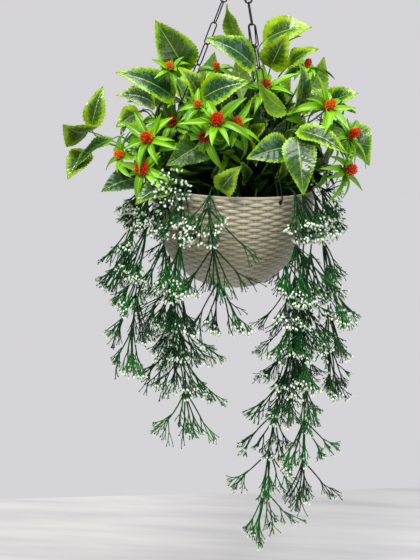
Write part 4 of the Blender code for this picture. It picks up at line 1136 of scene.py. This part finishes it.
# %% [markdown]
# ## Coleus leaves
# The leaves are printed and embossed plastic: a dark glossy middle, a bright yellow-green margin with
# saw teeth, and puckers between the side veins. The teeth and the puckers are real geometry. The print
# is a node pattern on the leaf's own map, because it follows the margin and the veins.

# %% Coleus print
def coleus_print(name, gloss, coat, faded):
    """Bright margin, dotted change to a dark middle, pale ribs; the tint map varies it leaf by leaf."""
    finish = Finish(name, gloss)
    place_on = finish.add("SeparateXYZ", {0: finish.uv("shape")}).node
    tint = finish.add("SeparateXYZ", {0: finish.uv("tint")}).node
    share = place_on.outputs[1]
    darkness = tint.outputs[0]
    blueness = tint.outputs[1]
    side = finish.math("ABSOLUTE", finish.math("MULTIPLY_ADD", place_on.outputs[0], 2.0, -1.0))
    dots = finish.add("TexVoronoi", {"Scale": 430.0, "Vector": finish.place()})
    blotch = finish.noise(75, 3)
    ends = finish.math("SINE", finish.math("MULTIPLY", finish.math("POWER", share, 0.8), 3.14))
    inward = finish.math("MULTIPLY", finish.math("SUBTRACT", 1.0, side), ends)
    depth = finish.math("ADD", inward, finish.math("MULTIPLY_ADD", darkness, 0.9, -0.45))
    depth = finish.math("ADD", depth, finish.math("MULTIPLY_ADD", blotch, 0.7, -0.35))
    dotted = finish.math("ADD", depth, finish.math("MULTIPLY_ADD", dots, -0.75, 0.28))
    middle = finish.ramp(dotted, 0.24, 0.40)
    bright = finish.mix(finish.noise(38, 2), rgb(112, 160, 6), rgb(172, 204, 22))
    half_way = finish.mix(blueness, rgb(76, 120, 6), rgb(66, 118, 30))
    dark = finish.mix(blueness, rgb(36, 62, 2), rgb(10, 48, 24))
    dark = finish.mix(finish.noise(160, 3), dark, finish.mix(blueness, rgb(56, 88, 8), rgb(24, 70, 40)))
    colour = finish.mix(finish.ramp(depth, 0.05, 0.45), bright, half_way)
    colour = finish.mix(middle, colour, dark)
    veins = finish.math("FRACT", finish.math("SUBTRACT", finish.math("MULTIPLY", share, SIDE_VEINS * 1.0),
                                             finish.math("MULTIPLY", side, 1.6)))
    vein = finish.ramp(finish.math("ABSOLUTE", finish.math("SUBTRACT", veins, 0.5)), 0.07, 0.0)
    rib = finish.ramp(side, 0.045, 0.012)
    colour = finish.mix(finish.math("MULTIPLY", vein, 0.28), colour, rgb(128, 170, 36))
    colour = finish.mix(finish.math("MULTIPLY", rib, 0.7), colour, rgb(150, 188, 60))
    colour = finish.mix(faded, colour, rgb(108, 142, 14))
    finish.set("Base Color", colour)
    finish.set("Coat Weight", coat)
    finish.set("Coat Roughness", 0.13)
    finish.set("Specular IOR Level", 0.3)
    pucker = finish.add("TexVoronoi", {"Scale": 230.0, "Vector": finish.place()}, feature="SMOOTH_F1")
    finish.bump(finish.math("ADD", pucker, finish.math("MULTIPLY", finish.noise(1100, 2), 0.1)), 0.5, 0.0012)
    return finish


SIDE_VEINS = 8
coleus_top = coleus_print("coleus_print", 0.34, 0.4, 0.0)
coleus_back = coleus_print("coleus_back", 0.5, 0.05, 0.5)
stem_finish = Finish("green_stem", 0.42)
stem_finish.set("Base Color", stem_finish.mix(stem_finish.noise(60, 3), rgb(34, 74, 18), rgb(104, 146, 44)))
stem_finish.bump(stem_finish.noise(700, 2), 0.3, 0.0003)

# %% Coleus blade
BLADE_COLUMNS = (-1, -0.9, -0.74, -0.54, -0.34, -0.14, 0, 0.14, 0.34, 0.54, 0.74, 0.9, 1)
BLADE_THICKNESS = 0.6 * MM
TOOTH_PITCH = 5.0 * MM
TOOTH_DEPTH = 2.1 * MM


def close_sheet(store, upper, lower, finish):
    """Joins the edges of an upper and a lower grid, so that a thin blade is one closed solid."""
    rows = len(upper) - 1
    wide = len(upper[0]) - 1
    outline = [(row, 0) for row in range(rows + 1)] + [(rows, column) for column in range(1, wide + 1)]
    outline += [(row, wide) for row in range(rows - 1, -1, -1)]
    outline += [(0, column) for column in range(wide - 1, 0, -1)]
    for (r0, c0), (r1, c1) in zip(outline, outline[1:] + outline[:1]):
        store.face((upper[r0][c0], upper[r1][c1], lower[r1][c1], lower[r0][c0]), finish)


def add_sheet(store, place, rows, columns, tint, top=0, under=1):
    """Adds a thin blade from a function that gives its points; the underside has its own finish."""
    layers = []
    for lift in (0, 1):
        layers.append([[store.point(place(row, side, lift), (side + 1) / 2, row / rows, tint)
                        for side in columns] for row in range(rows + 1)])
    upper, lower = layers
    for row in range(rows):
        for column in range(len(columns) - 1):
            near = (row, column), (row, column + 1), (row + 1, column + 1), (row + 1, column)
            store.face(tuple(upper[r][c] for r, c in near), top)
            store.face(tuple(lower[r][c] for r, c in reversed(near)), under)
    close_sheet(store, upper, lower, under)


def draw_blade(store, base, tip, width, face, tones, draw):
    """A toothed, puckered blade on the surface of its solid."""
    length = (tip - base).length
    along, across, normal = leaf_axes(base, tip, face)
    teeth = max(7, round(length / TOOTH_PITCH))
    rows = teeth * 4
    phase = draw.uniform(0, math.tau)
    curl = draw.uniform(-0.02, 0.1) * length
    ripple = draw.uniform(0.9, 2.2) * MM
    twist = draw.uniform(-0.12, 0.12)

    def place(row, side, under):
        share = 0.012 + 0.988 * row / rows
        size = abs(side)
        half = width / 2 * ovate(min(share, 0.999))
        lobe = abs(math.sin(math.pi * row / 4))
        reach = half * side
        if size > 0.85:
            cut = TOOTH_DEPTH * min(half / (8 * MM), 1) * (1 - lobe) * (1 if size == 1 else 0.25)
            reach = math.copysign(max(abs(reach) - cut, 0), side)
            share = share - 0.9 * MM / length * (lobe if size == 1 else 0)
        vein = abs(math.sin(math.pi * (share * SIDE_VEINS - size * 1.6))) ** 0.7
        height = length * 0.1 * math.sin(math.pi * share) + half * 0.22 * size
        height += 1.7 * MM * (vein - 0.5) * math.sin(math.pi * min(size * 1.02, 1)) ** 0.6
        height += ripple * math.sin(share * 12 + phase + (2 if side > 0 else 0)) * size ** 2
        height += reach * twist * share - curl * share ** 3
        height -= BLADE_THICKNESS * under
        return base + along * share * length + across * reach + normal * height

    add_sheet(store, place, rows, BLADE_COLUMNS, tones)


# %% [markdown]
# The printed leaves differ: some have a wide dark middle, some are nearly all yellow-green, and the
# older tone is bluer. Two numbers a leaf, darkness and blueness, are kept in the order of the layout.

# %% Coleus tones and plants
COLEUS_TONES = [
    [(0.62, 0.05), (0.55, 0.95), (0.35, 0.2), (0.5, 0.9)],
    [(0.55, 0.6), (0.35, 0.3), (0.7, 0.9)],
    [(0.38, 0.0), (0.35, 0.1), (0.4, 0.1), (0.62, 0.8)],
    [(0.6, 0.95), (0.45, 0.1), (0.4, 0.2)],
    [(0.3, 0.1), (0.36, 0.1), (0.3, 0.1), (0.5, 0.6)],
    [(0.6, 0.6), (0.32, 0.1), (0.55, 0.6), (0.72, 0.3), (0.5, 0.2)],
    [(0.5, 0.9), (0.62, 0.2), (0.4, 0.3)],
    [(0.6, 0.9), (0.25, 0.1), (0.78, 0.3)],
    [(0.65, 0.7), (0.85, 0.7)],
]


def draw_coleus(plan, tones, draw):
    store = Store()
    stem = smooth_path(plan["stem"], 3)
    sweep(store, stem, [STEM_RADIUS * 1.05] * (len(stem) - 1) + [STEM_RADIUS * 0.6], 8, 2)
    for number, (share, (base, tip, width, face, stalk)) in enumerate(plan["leaves"]):
        arm = smooth_path(stalk + [stalk[-1] + (tip - base).normalized() * 6 * MM], 3)
        radii = [PETIOLE_RADIUS * (1.15 - 0.5 * step / len(arm)) for step in range(len(arm))]
        sweep(store, arm, radii, 6, 2)
        tone = tones[number] if number < len(tones) else (draw.uniform(0.3, 0.8), draw.random())
        draw_blade(store, base, tip, width, face, tone, draw)
    piece = store.make(plan["name"] + "_leaves", [coleus_top, coleus_back, stem_finish], 60)
    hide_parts(plan["name"])
    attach(piece, "root")
    return len(piece.data.polygons)


leaf_draw = random.Random(7)
coleus_faces = 0
for plan, tones in zip(coleus_plans, COLEUS_TONES + [[], [], []]):
    coleus_faces += draw_coleus(plan, tones, leaf_draw)
print("coleus faces:", coleus_faces)

# %% [markdown]
# ## Lance leaves and red heads
# Each red head sits on a whorl of narrow bright leaves. The leaves are keeled and curve outwards. The
# head is a ball of many short soft spikes, so small cones are set over a sphere by the golden angle.

# %% Lance and head finishes
def lance_leaf_finish(name, dark, bright, vein, gloss):
    finish = Finish(name, gloss)
    place_on = finish.add("SeparateXYZ", {0: finish.uv("shape")}).node
    tint = finish.add("SeparateXYZ", {0: finish.uv("tint")}).node
    tone = finish.mix(tint.outputs[0], dark, bright)
    tone = finish.mix(finish.ramp(place_on.outputs[1], 0.4, 0.0), tone, dark)
    tone = finish.mix(finish.math("MULTIPLY", finish.noise(90, 3), 0.5), tone, bright)
    rib = finish.math("ABSOLUTE", finish.math("SUBTRACT", place_on.outputs[0], 0.5))
    tone = finish.mix(finish.ramp(rib, 0.06, 0.015), tone, vein)
    finish.set("Base Color", tone)
    finish.set("Coat Weight", 0.2)
    finish.set("Coat Roughness", 0.2)
    finish.set("Specular IOR Level", 0.3)
    finish.bump(finish.noise(900, 2), 0.25, 0.0004)
    return finish


lance_finish = lance_leaf_finish("lance_leaf", rgb(48, 112, 2), rgb(126, 190, 4), rgb(160, 208, 30), 0.4)
# The shaded leaf is the same finish in dark greens: painted shade for leaves deep in the crown and along the stems.
shade_finish = lance_leaf_finish("shaded_leaf", rgb(5, 20, 2), rgb(40, 88, 4), rgb(60, 108, 16), 0.46)

head_finish = Finish("spiky_head", 0.42)
head_shape = head_finish.add("SeparateXYZ", {0: head_finish.uv("shape")}).node
head_tint = head_finish.add("SeparateXYZ", {0: head_finish.uv("tint")}).node
spike_tip = head_finish.mix(head_tint.outputs[0], rgb(238, 34, 12), rgb(250, 140, 20))
spike_foot = head_finish.mix(head_tint.outputs[0], rgb(150, 8, 4), rgb(214, 64, 8))
head_tone = head_finish.mix(head_shape.outputs[1], spike_foot, spike_tip)
# Painted shade: a head given less light is mixed towards dark red.
head_tone = head_finish.mix(head_tint.outputs[1], rgb(86, 8, 6), head_tone)
head_finish.set("Base Color", head_tone)
head_finish.bump(head_finish.noise(1500, 2), 0.2, 0.0003)

# %% Whorls
GOLDEN = math.pi * (3 - 5 ** 0.5)
# Each head's look: size, stretch along its axis, share of orange, and light; a low light paints the head a darker red,
# as painted shade.
HEAD_LOOKS = [
    (1.12, 1.0, 0.15, 1.0), (0.95, 1.0, 0.1, 0.45), (0.95, 1.1, 0.6, 0.9), (1.05, 1.2, 0.45, 1.0),
    (1.1, 1.0, 0.1, 1.0), (0.72, 1.3, 0.8, 1.0), (0.95, 1.0, 0.1, 0.55), (0.6, 1.3, 0.9, 1.0),
    (0.62, 1.3, 0.9, 1.0), (0.65, 1.3, 0.7, 0.9), (0.95, 1.1, 0.6, 0.75), (0.7, 1.3, 0.4, 0.9),
    (0.95, 1.4, 1.0, 1.0), (0.95, 1.5, 0.2, 1.0), (1.1, 1.1, 0.25, 1.0), (0.9, 1.2, 0.5, 0.9),
    (1.0, 1.0, 0.2, 0.9), (1.0, 1.1, 0.3, 1.0), (0.8, 1.3, 0.8, 1.0), (1.0, 1.0, 0.2, 1.0),
]
LANCE_ROWS = 12
LANCE_COLUMNS = (-1, -0.5, 0, 0.5, 1)
LANCE_THICKNESS = 0.5 * MM


def draw_lance(store, foot, axis, turn, open_angle, scale, wide, finish, draw):
    """One keeled lance leaf that leaves a hub at a turn round its axis and curves outwards."""
    side, other = whorl_frame(axis)
    outward = side * math.cos(turn) + other * math.sin(turn)
    across = axis.cross(outward).normalized()
    tint = (draw.random(), draw.random())
    droop = LANCE_DROOP + draw.uniform(-0.35, 0.75)
    sway = draw.uniform(-8.0, 8.0) * MM
    roll = draw.uniform(-0.6, 0.6)

    def centre(share):
        lean = open_angle + droop * share
        along = outward * math.sin(lean) + axis * math.cos(lean)
        return foot + outward * HUB_RADIUS * 0.6 + along * LANCE_LENGTH * scale * share + across * sway * share ** 2

    def place(row, edge, under):
        share = row / LANCE_ROWS
        along = (centre(min(share + 0.05, 1)) - centre(max(share - 0.05, 0))).normalized()
        up = across.cross(along)
        if up.dot(axis) < 0:
            up = -up
        flat = across * math.cos(roll * share) + up * math.sin(roll * share)
        half = wide / 2 * max(math.sin(math.pi * min(0.06 + share ** 0.8 * 0.94, 1)) ** 0.9, 0.04)
        height = abs(edge) * half * 0.5 - LANCE_THICKNESS * under
        return centre(share) + flat * half * edge + up * height

    add_sheet(store, place, LANCE_ROWS, LANCE_COLUMNS, tint, finish, finish)


def draw_berry_stem(plan, looks, draw):
    store = Store()
    stem = smooth_path(plan["stem"], 3)
    sweep(store, stem, [STEM_RADIUS] * len(stem), 8, 1)
    for head, look in zip(plan["heads"], looks):
        vigour = 1.0 if look[0] > 0.8 else 0.75
        arm = smooth_path(head["branch"], 3)
        sweep(store, arm, [BRANCH_RADIUS] * len(arm), 6, 1)
        foot, axis = head["foot"], head["axis"]
        hub = [foot - axis * 3 * MM, foot, foot + axis * HUB_HALF_HEIGHT]
        sweep(store, hub, [BRANCH_RADIUS, HUB_RADIUS * 1.1, HUB_RADIUS], 8, 1)
        for number, (open_angle, scale) in enumerate(head["leaves"]):
            if scale is None:
                continue
            turn = math.tau * (number + 0.5 + draw.uniform(-0.25, 0.25)) / WHORL_LEAVES
            draw_lance(store, foot, axis, turn, open_angle + draw.uniform(-0.2, 0.25),
                       scale * vigour * draw.uniform(0.8, 1.2), LANCE_WIDTH * scale * draw.uniform(1.0, 1.35), 0, draw)
        for number in range(5):
            turn = math.tau * (number + draw.uniform(-0.2, 0.2)) / 5 + 0.3
            draw_lance(store, foot - axis * 3 * MM, axis, turn, draw.uniform(0.5, 1.25),
                       vigour * draw.uniform(0.6, 1.2), LANCE_WIDTH * draw.uniform(0.9, 1.3), 0, draw)
        # Some leaves along the branch take the shaded finish, whose dark green is painted shade.
        for share in (0.3, 0.6):
            place = point_at(head["branch"], share)
            for number in range(3):
                draw_lance(store, place, axis, draw.uniform(0, math.tau), draw.uniform(0.8, 1.3),
                           draw.uniform(0.6, 1.0), LANCE_WIDTH * draw.uniform(1.0, 1.4), draw.choice((0, 2)), draw)
    # Leaves along the stem take the shaded finish, whose dark green is painted shade.
    path = plan["stem"]
    for share in (0.42, 0.56, 0.7, 0.84, 0.96):
        place = point_at(path, share)
        way = (point_at(path, min(share + 0.03, 1)) - point_at(path, share - 0.03)).normalized()
        for number in range(4):
            turn = math.tau * (number + draw.uniform(-0.3, 0.3)) / 4 + share * 9
            draw_lance(store, place, way, turn, draw.uniform(0.6, 1.2), draw.uniform(0.75, 1.2),
                       LANCE_WIDTH * draw.uniform(1.1, 1.6), 2, draw)
    piece = store.make(plan["name"] + "_leaves", [lance_finish, stem_finish, shade_finish], 60)
    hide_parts(plan["name"])
    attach(piece, "root")
    return len(piece.data.polygons)


# %% Heads
SPIKES = 110


def draw_head(name, head, look, draw):
    """A red head: a core with short soft spikes all over it, drawn out a little along its axis."""
    size, stretch, orange, light = look
    store = Store()
    axis = head["axis"]
    side, other = whorl_frame(axis)
    core = HEAD_RADIUS * 0.62 * size
    centre = head["centre"] - axis * HEAD_RADIUS * (1 - size) * 0.8

    def reach_to(way, radius):
        return centre + way * radius + axis * way.dot(axis) * radius * (stretch - 1)

    rows = 7
    for row in range(rows + 1):
        angle = math.pi * row / rows
        for step in range(10):
            turn = math.tau * step / 10
            way = (side * math.cos(turn) + other * math.sin(turn)) * math.sin(angle) + axis * math.cos(angle)
            store.point(reach_to(way, core), 0, 0.0, (orange, light))
    for row in range(rows):
        for step in range(10):
            after = (step + 1) % 10
            store.face((row * 10 + step, row * 10 + after, row * 10 + 10 + after, row * 10 + 10 + step))
    for number in range(SPIKES):
        level = 1 - 2 * (number + 0.5) / SPIKES
        flat = (1 - level * level) ** 0.5
        turn = GOLDEN * number
        way = (side * math.cos(turn) + other * math.sin(turn)) * flat + axis * level
        way = shaken(way, 0.2, draw)
        foot = reach_to(way, core * 0.85)
        apex_at = reach_to((way + axis * 0.25).normalized(), HEAD_RADIUS * size * draw.uniform(0.86, 1.26))
        cross_a = way.orthogonal().normalized()
        cross_b = way.cross(cross_a)
        tone = (min(max(orange + draw.uniform(-0.15, 0.25), 0), 1), light)
        rings = []
        for up, wide, warm in ((0, 1.15, 0.0), (0.55, 0.9, 0.6)):
            ring = []
            for step in range(4):
                angle = math.tau * step / 4
                offset = (cross_a * math.cos(angle) + cross_b * math.sin(angle)) * wide * MM * (0.6 + 0.4 * size)
                ring.append(store.point(foot.lerp(apex_at, up) + offset, 0, warm, tone))
            rings.append(ring)
        apex = store.point(apex_at, 0, 1.0, tone)
        for step in range(4):
            after = (step + 1) % 4
            store.face((rings[0][step], rings[0][after], rings[1][after], rings[1][step]))
            store.face((rings[1][step], rings[1][after], apex))
        store.face(tuple(reversed(rings[0])))
    piece = store.make(name + "_spikes", [head_finish], 50)
    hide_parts(name)
    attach(piece, "root")


heads_drawn = 0
lance_faces = 0
lance_draw = random.Random(11)
for plan in berry_plans:
    looks = HEAD_LOOKS[heads_drawn:heads_drawn + len(plan["heads"])]
    lance_faces += draw_berry_stem(plan, looks, lance_draw)
    for head in plan["heads"]:
        heads_drawn += 1
        draw_head(f"berry_{heads_drawn}", head, HEAD_LOOKS[heads_drawn - 1], lance_draw)
print("heads drawn:", heads_drawn, "lance faces:", lance_faces)

# %% [markdown]
# ## Leaves inside the crown
# Under the bright leaves, the crown is full of more leaves, most of them dark green: that dark green is
# painted shade, darker the lower a leaf sits, and it makes the middle look almost black. Each one stands
# on a thin stalk from the foam. They are set over a dome by the golden angle, inside the reach of the
# bright leaves.

# %% Shaded inner leaves
INNER_LEAVES = 240
DOME = (160 * MM, 88 * MM, 172 * MM)


def draw_inner_leaf(store, base, tip, width, face, light, draw):
    """A plain pointed leaf on a surface like the bright ones, with fewer faces."""
    length = (tip - base).length
    along, across, normal = leaf_axes(base, tip, face)
    # Painted shade: a leaf given less light gets a darker tint.
    tint = (draw.random() * light, draw.random())
    bend = draw.uniform(0.0, 0.18) * length

    def place(row, side, under):
        share = 0.02 + 0.98 * row / 9
        half = width / 2 * ovate(min(share, 0.999))
        height = length * 0.12 * math.sin(math.pi * share) + half * 0.3 * abs(side) - bend * share ** 2
        return base + along * share * length + across * half * side + normal * (height - 0.5 * MM * under)

    add_sheet(store, place, 9, (-1, -0.5, 0, 0.5, 1), tint, 2, 2)


def draw_inner_leaves(name, draw):
    store = Store()
    centre = Vector((0, -4 * MM, RIM_Z + 4 * MM))
    for number in range(INNER_LEAVES):
        level = 0.04 + 0.92 * (number + 0.5) / INNER_LEAVES
        flat = (1 - level * level) ** 0.5
        turn = GOLDEN * number + draw.uniform(-0.2, 0.2)
        way = Vector((flat * math.cos(turn), flat * math.sin(turn), level))
        printed = number % 4 == 1 and level > 0.2 and way.y < 0.4
        size = draw.uniform(0.82, 0.98) if printed else draw.uniform(0.62, 0.92)
        tip = centre + Vector((way.x * DOME[0], way.y * DOME[1], way.z * DOME[2])) * size
        inward = Vector((way.x * 0.6, way.y * 0.6, 0.5 + 0.3 * way.z)) * draw.uniform(34, 52) * MM
        base = tip - shaken(inward.normalized(), 0.3, draw) * draw.uniform(40, 58) * MM
        base.z = max(base.z, RIM_Z + 2 * MM)
        root = Vector((base.x * 0.7, base.y * 0.7, 0))
        if root.length > 100 * MM:
            root = root.normalized() * 100 * MM
        root.z = RIM_Z - FOAM_DROP - 3 * MM
        stalk = bezier(root, root + UP * (base.z - root.z) * 0.5, base - UP * 6 * MM, base, 5)
        sweep(store, stalk, [0.9 * MM] * 6, 5, 2)
        width = draw.uniform(16, 30) * MM
        # Painted shade: the lower a leaf's tip sits in the crown, the less light it is given.
        light = min(max((tip.z - RIM_Z - 35 * MM) / (75 * MM), 0.05), 1)
        face = shaken(Vector((way.x, way.y - 0.4, 0.7)), 0.4, draw)
        if printed:
            draw_blade(store, base, tip, width * 1.3, face, (draw.uniform(0.3, 0.75), draw.random()), draw)
        else:
            draw_inner_leaf(store, base, tip, width, face, light, draw)
    piece = store.make(name, [coleus_top, coleus_back, shade_finish], 60)
    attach(piece, "root")
    print(name, "faces:", len(piece.data.polygons))


draw_inner_leaves("inner_leaves", random.Random(17))

# %% [markdown]
# ## Trailing sprays
# Each strand carries a spray every few centimetres: thin twigs that fan out and down, fork twice, and
# end in small white buds. A particle system could scatter twigs, but a short branching rule gives real
# meshes whose forks join, and each strand stays one piece.

# %% Spray finishes
twig_finish = Finish("spray_green", 0.5)
twig_finish.set("Specular IOR Level", 0.25)
twig_tint = twig_finish.add("SeparateXYZ", {0: twig_finish.uv("tint")}).node
twig_tone = twig_finish.mix(twig_tint.outputs[0], rgb(2, 18, 8), rgb(26, 122, 22))
twig_tone = twig_finish.mix(twig_finish.math("MULTIPLY", twig_finish.noise(45, 3), 0.45), twig_tone, rgb(2, 64, 24))
twig_tone = twig_finish.mix(twig_tint.outputs[1], twig_tone, rgb(70, 150, 24))
twig_finish.set("Base Color", twig_tone)
twig_finish.bump(twig_finish.noise(800, 2), 0.3, 0.0003)
bud_finish = Finish("white_bud", 0.5)
bud_shape = bud_finish.add("SeparateXYZ", {0: bud_finish.uv("shape")}).node
bud_tint = bud_finish.add("SeparateXYZ", {0: bud_finish.uv("tint")}).node
bud_tone = bud_finish.mix(bud_finish.noise(200, 2), rgb(206, 224, 186), rgb(250, 252, 244))
bud_green = bud_finish.mix(bud_finish.ramp(bud_shape.outputs[1], 0.1, 0.5), rgb(24, 84, 40), bud_tone)
bud_finish.set("Base Color", bud_finish.mix(bud_tint.outputs[0], rgb(14, 50, 26), bud_green))
bud_finish.bump(bud_finish.noise(900, 2), 0.3, 0.0004)

# %% Buds and tips
PRIMARY_RADIUS = 1.12 * MM
BUD_LENGTH = 4.2 * MM
BUD_WIDE = 1.6 * MM


def cone_way(heading, angle, turn):
    """A direction that leaves a heading by an angle, turned round it."""
    side = heading.orthogonal().normalized()
    other = heading.cross(side)
    return heading * math.cos(angle) + (side * math.cos(turn) + other * math.sin(turn)) * math.sin(angle)


def inside_bowl(place):
    depth = RIM_Z - place.z
    return -2 * MM < depth < BOWL_DEPTH and Vector((place.x, place.y)).length < wall_radius(depth) + 2.5 * MM


def draw_bud(store, foot, way, size, pale):
    """A small flared bud: narrow at its foot, widest near its end."""
    side = way.orthogonal().normalized()
    other = way.cross(side)
    tip = store.point(foot + way * BUD_LENGTH * size, 0, 1.0, (pale, 0))
    rings = []
    for reach, wide, v in ((-0.15, 0.35, 0.0), (0.6, 1.0, 0.55)):
        ring = []
        for step in range(4):
            angle = math.tau * step / 4
            offset = (side * math.cos(angle) + other * math.sin(angle)) * BUD_WIDE * wide * size
            ring.append(store.point(foot + way * BUD_LENGTH * reach * size + offset, step / 4, v, (pale, 0)))
        rings.append(ring)
    for step in range(4):
        after = (step + 1) % 4
        store.face((rings[0][step], rings[0][after], rings[1][after], rings[1][step]), 1)
        store.face((rings[1][step], rings[1][after], tip), 1)
    store.face(tuple(reversed(rings[0])), 1)


# %% Twigs
def draw_brush(store, start, heading, length, look, draw):
    """A side twig: bare at first, then forked into short tips with buds."""
    tone, white = look
    pale = 1.0 if draw.random() < white else 0.0
    knee = start + heading * length * draw.uniform(0.35, 0.5)
    if inside_bowl(knee):
        return
    sweep(store, [start, knee], [PRIMARY_RADIUS * 0.8, PRIMARY_RADIUS * 0.7], 4, 0, (tone * 0.7, 0))
    turn = draw.uniform(0, math.tau)
    for number in range(draw.choice((2, 2, 3))):
        turn += 2.3
        way = (cone_way(heading, draw.uniform(0.16, 0.42), turn) - UP * 0.12).normalized()
        fork = knee + way * length * draw.uniform(0.24, 0.36)
        if inside_bowl(fork):
            continue
        sweep(store, [knee, fork], [PRIMARY_RADIUS * 0.7, PRIMARY_RADIUS * 0.6], 4, 0, (tone, 0))
        spin = draw.uniform(0, math.tau)
        for tip in range(draw.choice((1, 2, 2)) + int(pale)):
            spin += 2.3
            aim = cone_way(way, draw.uniform(0.15, 0.42), spin)
            end = fork + aim * draw.uniform(5, 11) * MM
            sweep(store, [fork, end], [PRIMARY_RADIUS * 0.55] * 2, 3, 0, (tone, 0))
            draw_bud(store, end, aim, draw.uniform(0.75, 1.15) * (1.15 if pale else 0.75), pale)


def draw_arm(store, start, end, look, draw, forks=(), size=1.0):
    """A main branch of a spray: bare and slightly bowed, with brushes of side twigs near its end."""
    heading = (end - start).normalized()
    length = (end - start).length
    tone = min(max(look[0] + draw.uniform(-0.2, 0.2), 0), 1)
    look = (tone, look[1] * min(max(0.2 - 0.9 * heading.z, 0.12), 1))
    bow = cone_way(heading, math.pi / 2, draw.uniform(0, math.tau)) * length * draw.uniform(0.02, 0.07)
    path = bezier(start, start.lerp(end, 0.33) + bow, start.lerp(end, 0.66) + bow, end, 4)
    radii = [PRIMARY_RADIUS * (1.15 - 0.07 * step) for step in range(5)]
    sweep(store, path, radii, 5, 0, (tone * 0.4, 0))
    for fork_start, fork_end in forks:
        way = fork_end - fork_start
        draw_brush(store, fork_start, way.normalized(), way.length * size, look, draw)
    turn = draw.uniform(0, math.tau)
    for share in (0.8, 1.0, 1.0):
        turn += 2.4
        way = cone_way(heading, draw.uniform(0.12, 0.45), turn)
        draw_brush(store, point_at(path, min(share, 0.999)), way, draw.uniform(23, 31) * MM * size, look, draw)


def draw_spray(store, node, down, branches, extra, spread, look, draw, size=1.0):
    """One spray: the branches of its solid, and more between them, all leaning with the strand."""
    for start, end, forks in branches:
        draw_arm(store, start, end, look, draw, [pair for fork, pair in forks])
    outward = Vector((node.x, node.y, 0)).normalized()
    across = down.cross(outward).normalized()
    for number in range(extra):
        sideways = spread * (2 * (number + draw.uniform(0.2, 0.8)) / extra - 1)
        lean = draw.uniform(0.02, 0.4) if RIM_Z - node.z < BOWL_DEPTH else draw.uniform(-0.35, 0.35)
        way = (down * 0.9 + across * sideways + outward * lean).normalized()
        end = node + way * draw.uniform(36, 52) * MM * size
        if not inside_bowl(end) and not inside_bowl(node.lerp(end, 0.5)):
            draw_arm(store, node, end, look, draw, (), size)


# %% Blossom
def draw_blossom(store, node, facing, draw):
    """A tuft of white buds that faces the viewer, where a strand comes over the rim."""
    for number in range(15):
        level = 1 - 0.075 * number
        turn = GOLDEN * number
        way = cone_way(facing, math.acos(max(level, -1)) * 0.95, turn)
        end = node + way * draw.uniform(15, 24) * MM
        sweep(store, [node, end], [PRIMARY_RADIUS * 0.8, PRIMARY_RADIUS * 0.6], 4, 0, (0.25, 0))
        for tip in range(3):
            aim = cone_way(way, draw.uniform(0.3, 0.8), turn + 2.1 * tip)
            bud = end + aim * draw.uniform(3, 7) * MM
            sweep(store, [end, bud], [PRIMARY_RADIUS * 0.5] * 2, 3, 0, (0.4, 0))
            draw_bud(store, bud, aim, draw.uniform(1.0, 1.4), 1.0)


# %% Strands
BLOSSOM_PLACES = {"trail_4": (-14, -16, 4), "trail_3": (4, -20, 2), "trail_9": (8, -14, 0)}
FRONT_BRANCH = Vector((50, -6, -50)) * MM


def draw_strand(plan, draw):
    store = Store()
    stem = plan["stem"]
    path = smooth_path(stem, 3)
    tone = draw.uniform(0.1, 0.5)
    radii = [TRAIL_RADIUS * (1 - 0.3 * step / len(path)) for step in range(len(path))]
    sweep(store, path, radii, 6, 0, (tone, 0))
    first = len(stem) - len(plan["sprays"])
    for index, branches in plan["sprays"].items():
        node = stem[index]
        down = (stem[min(index + 1, len(stem) - 1)] - stem[index - 1]).normalized()
        look = (draw.uniform(0.05, 1.0), draw.choice((0.25, 0.5, 0.8, 1.0)))
        joint = [node - down * 3 * MM, node, node + down * 3 * MM]
        sweep(store, joint, [TRAIL_RADIUS * 0.8, TRAIL_RADIUS * 1.25, TRAIL_RADIUS * 0.7], 6, 0, (look[0], 0.7))
        draw_spray(store, node, down, branches, 4, 0.5, look, draw)
    for index in (first - 1, first - 2):
        node = stem[index]
        outward = Vector((node.x, node.y, 0)).normalized()
        way = (outward * 0.35 - UP * 0.9).normalized()
        look = (draw.uniform(0.0, 0.7), draw.choice((0.4, 0.7, 0.9)))
        draw_spray(store, node, way, [], 4, 0.8, look, draw, 0.72)
    if plan["name"] == "trail_5":
        node = stem[first - 1]
        draw_arm(store, node, node + FRONT_BRANCH, (0.4, 0.3), draw)
    if plan["name"] in BLOSSOM_PLACES:
        place = stem[first - 2]
        outward = Vector((place.x, place.y, 0)).normalized()
        shift = Vector(BLOSSOM_PLACES[plan["name"]]) * MM
        sweep(store, [place, place + shift], [PRIMARY_RADIUS] * 2, 5, 0, (0.2, 0))
        draw_blossom(store, place + shift, (VIEWER.normalized() + outward * 0.4).normalized(), draw)
    piece = store.make(plan["name"] + "_sprays", [twig_finish, bud_finish], 60)
    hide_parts(plan["name"])
    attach(piece, "root")
    return len(piece.data.polygons)


spray_draw = random.Random(5)
for plan in trail_plans:
    print(plan["name"], "faces", draw_strand(plan, spray_draw))

# %% [markdown]
# ## Floor
# The floor is pale, with faint boards. It ends where the wall starts.

# %% Floor
floor_finish = Finish("pale_floor", 0.4)
grain_place = floor_finish.add("Mapping", {0: floor_finish.place(), 3: (1.0, 9.0, 1.0)})
floor_grain = floor_finish.noise(3, 5, grain_place)
floor_tone = floor_finish.mix(floor_finish.ramp(floor_grain, 0.35, 0.7), rgb(228, 224, 222), rgb(210, 205, 206))
floor_finish.set("Base Color", floor_tone)
slab = Store()
corners = [(-3, -3, FLOOR_Z), (3, -3, FLOOR_Z), (3, 0.979, FLOOR_Z), (-3, 0.016, FLOOR_Z)]
slab.face(tuple(slab.point(Vector(corner)) for corner in corners))
floor = slab.make("floor", [floor_finish])
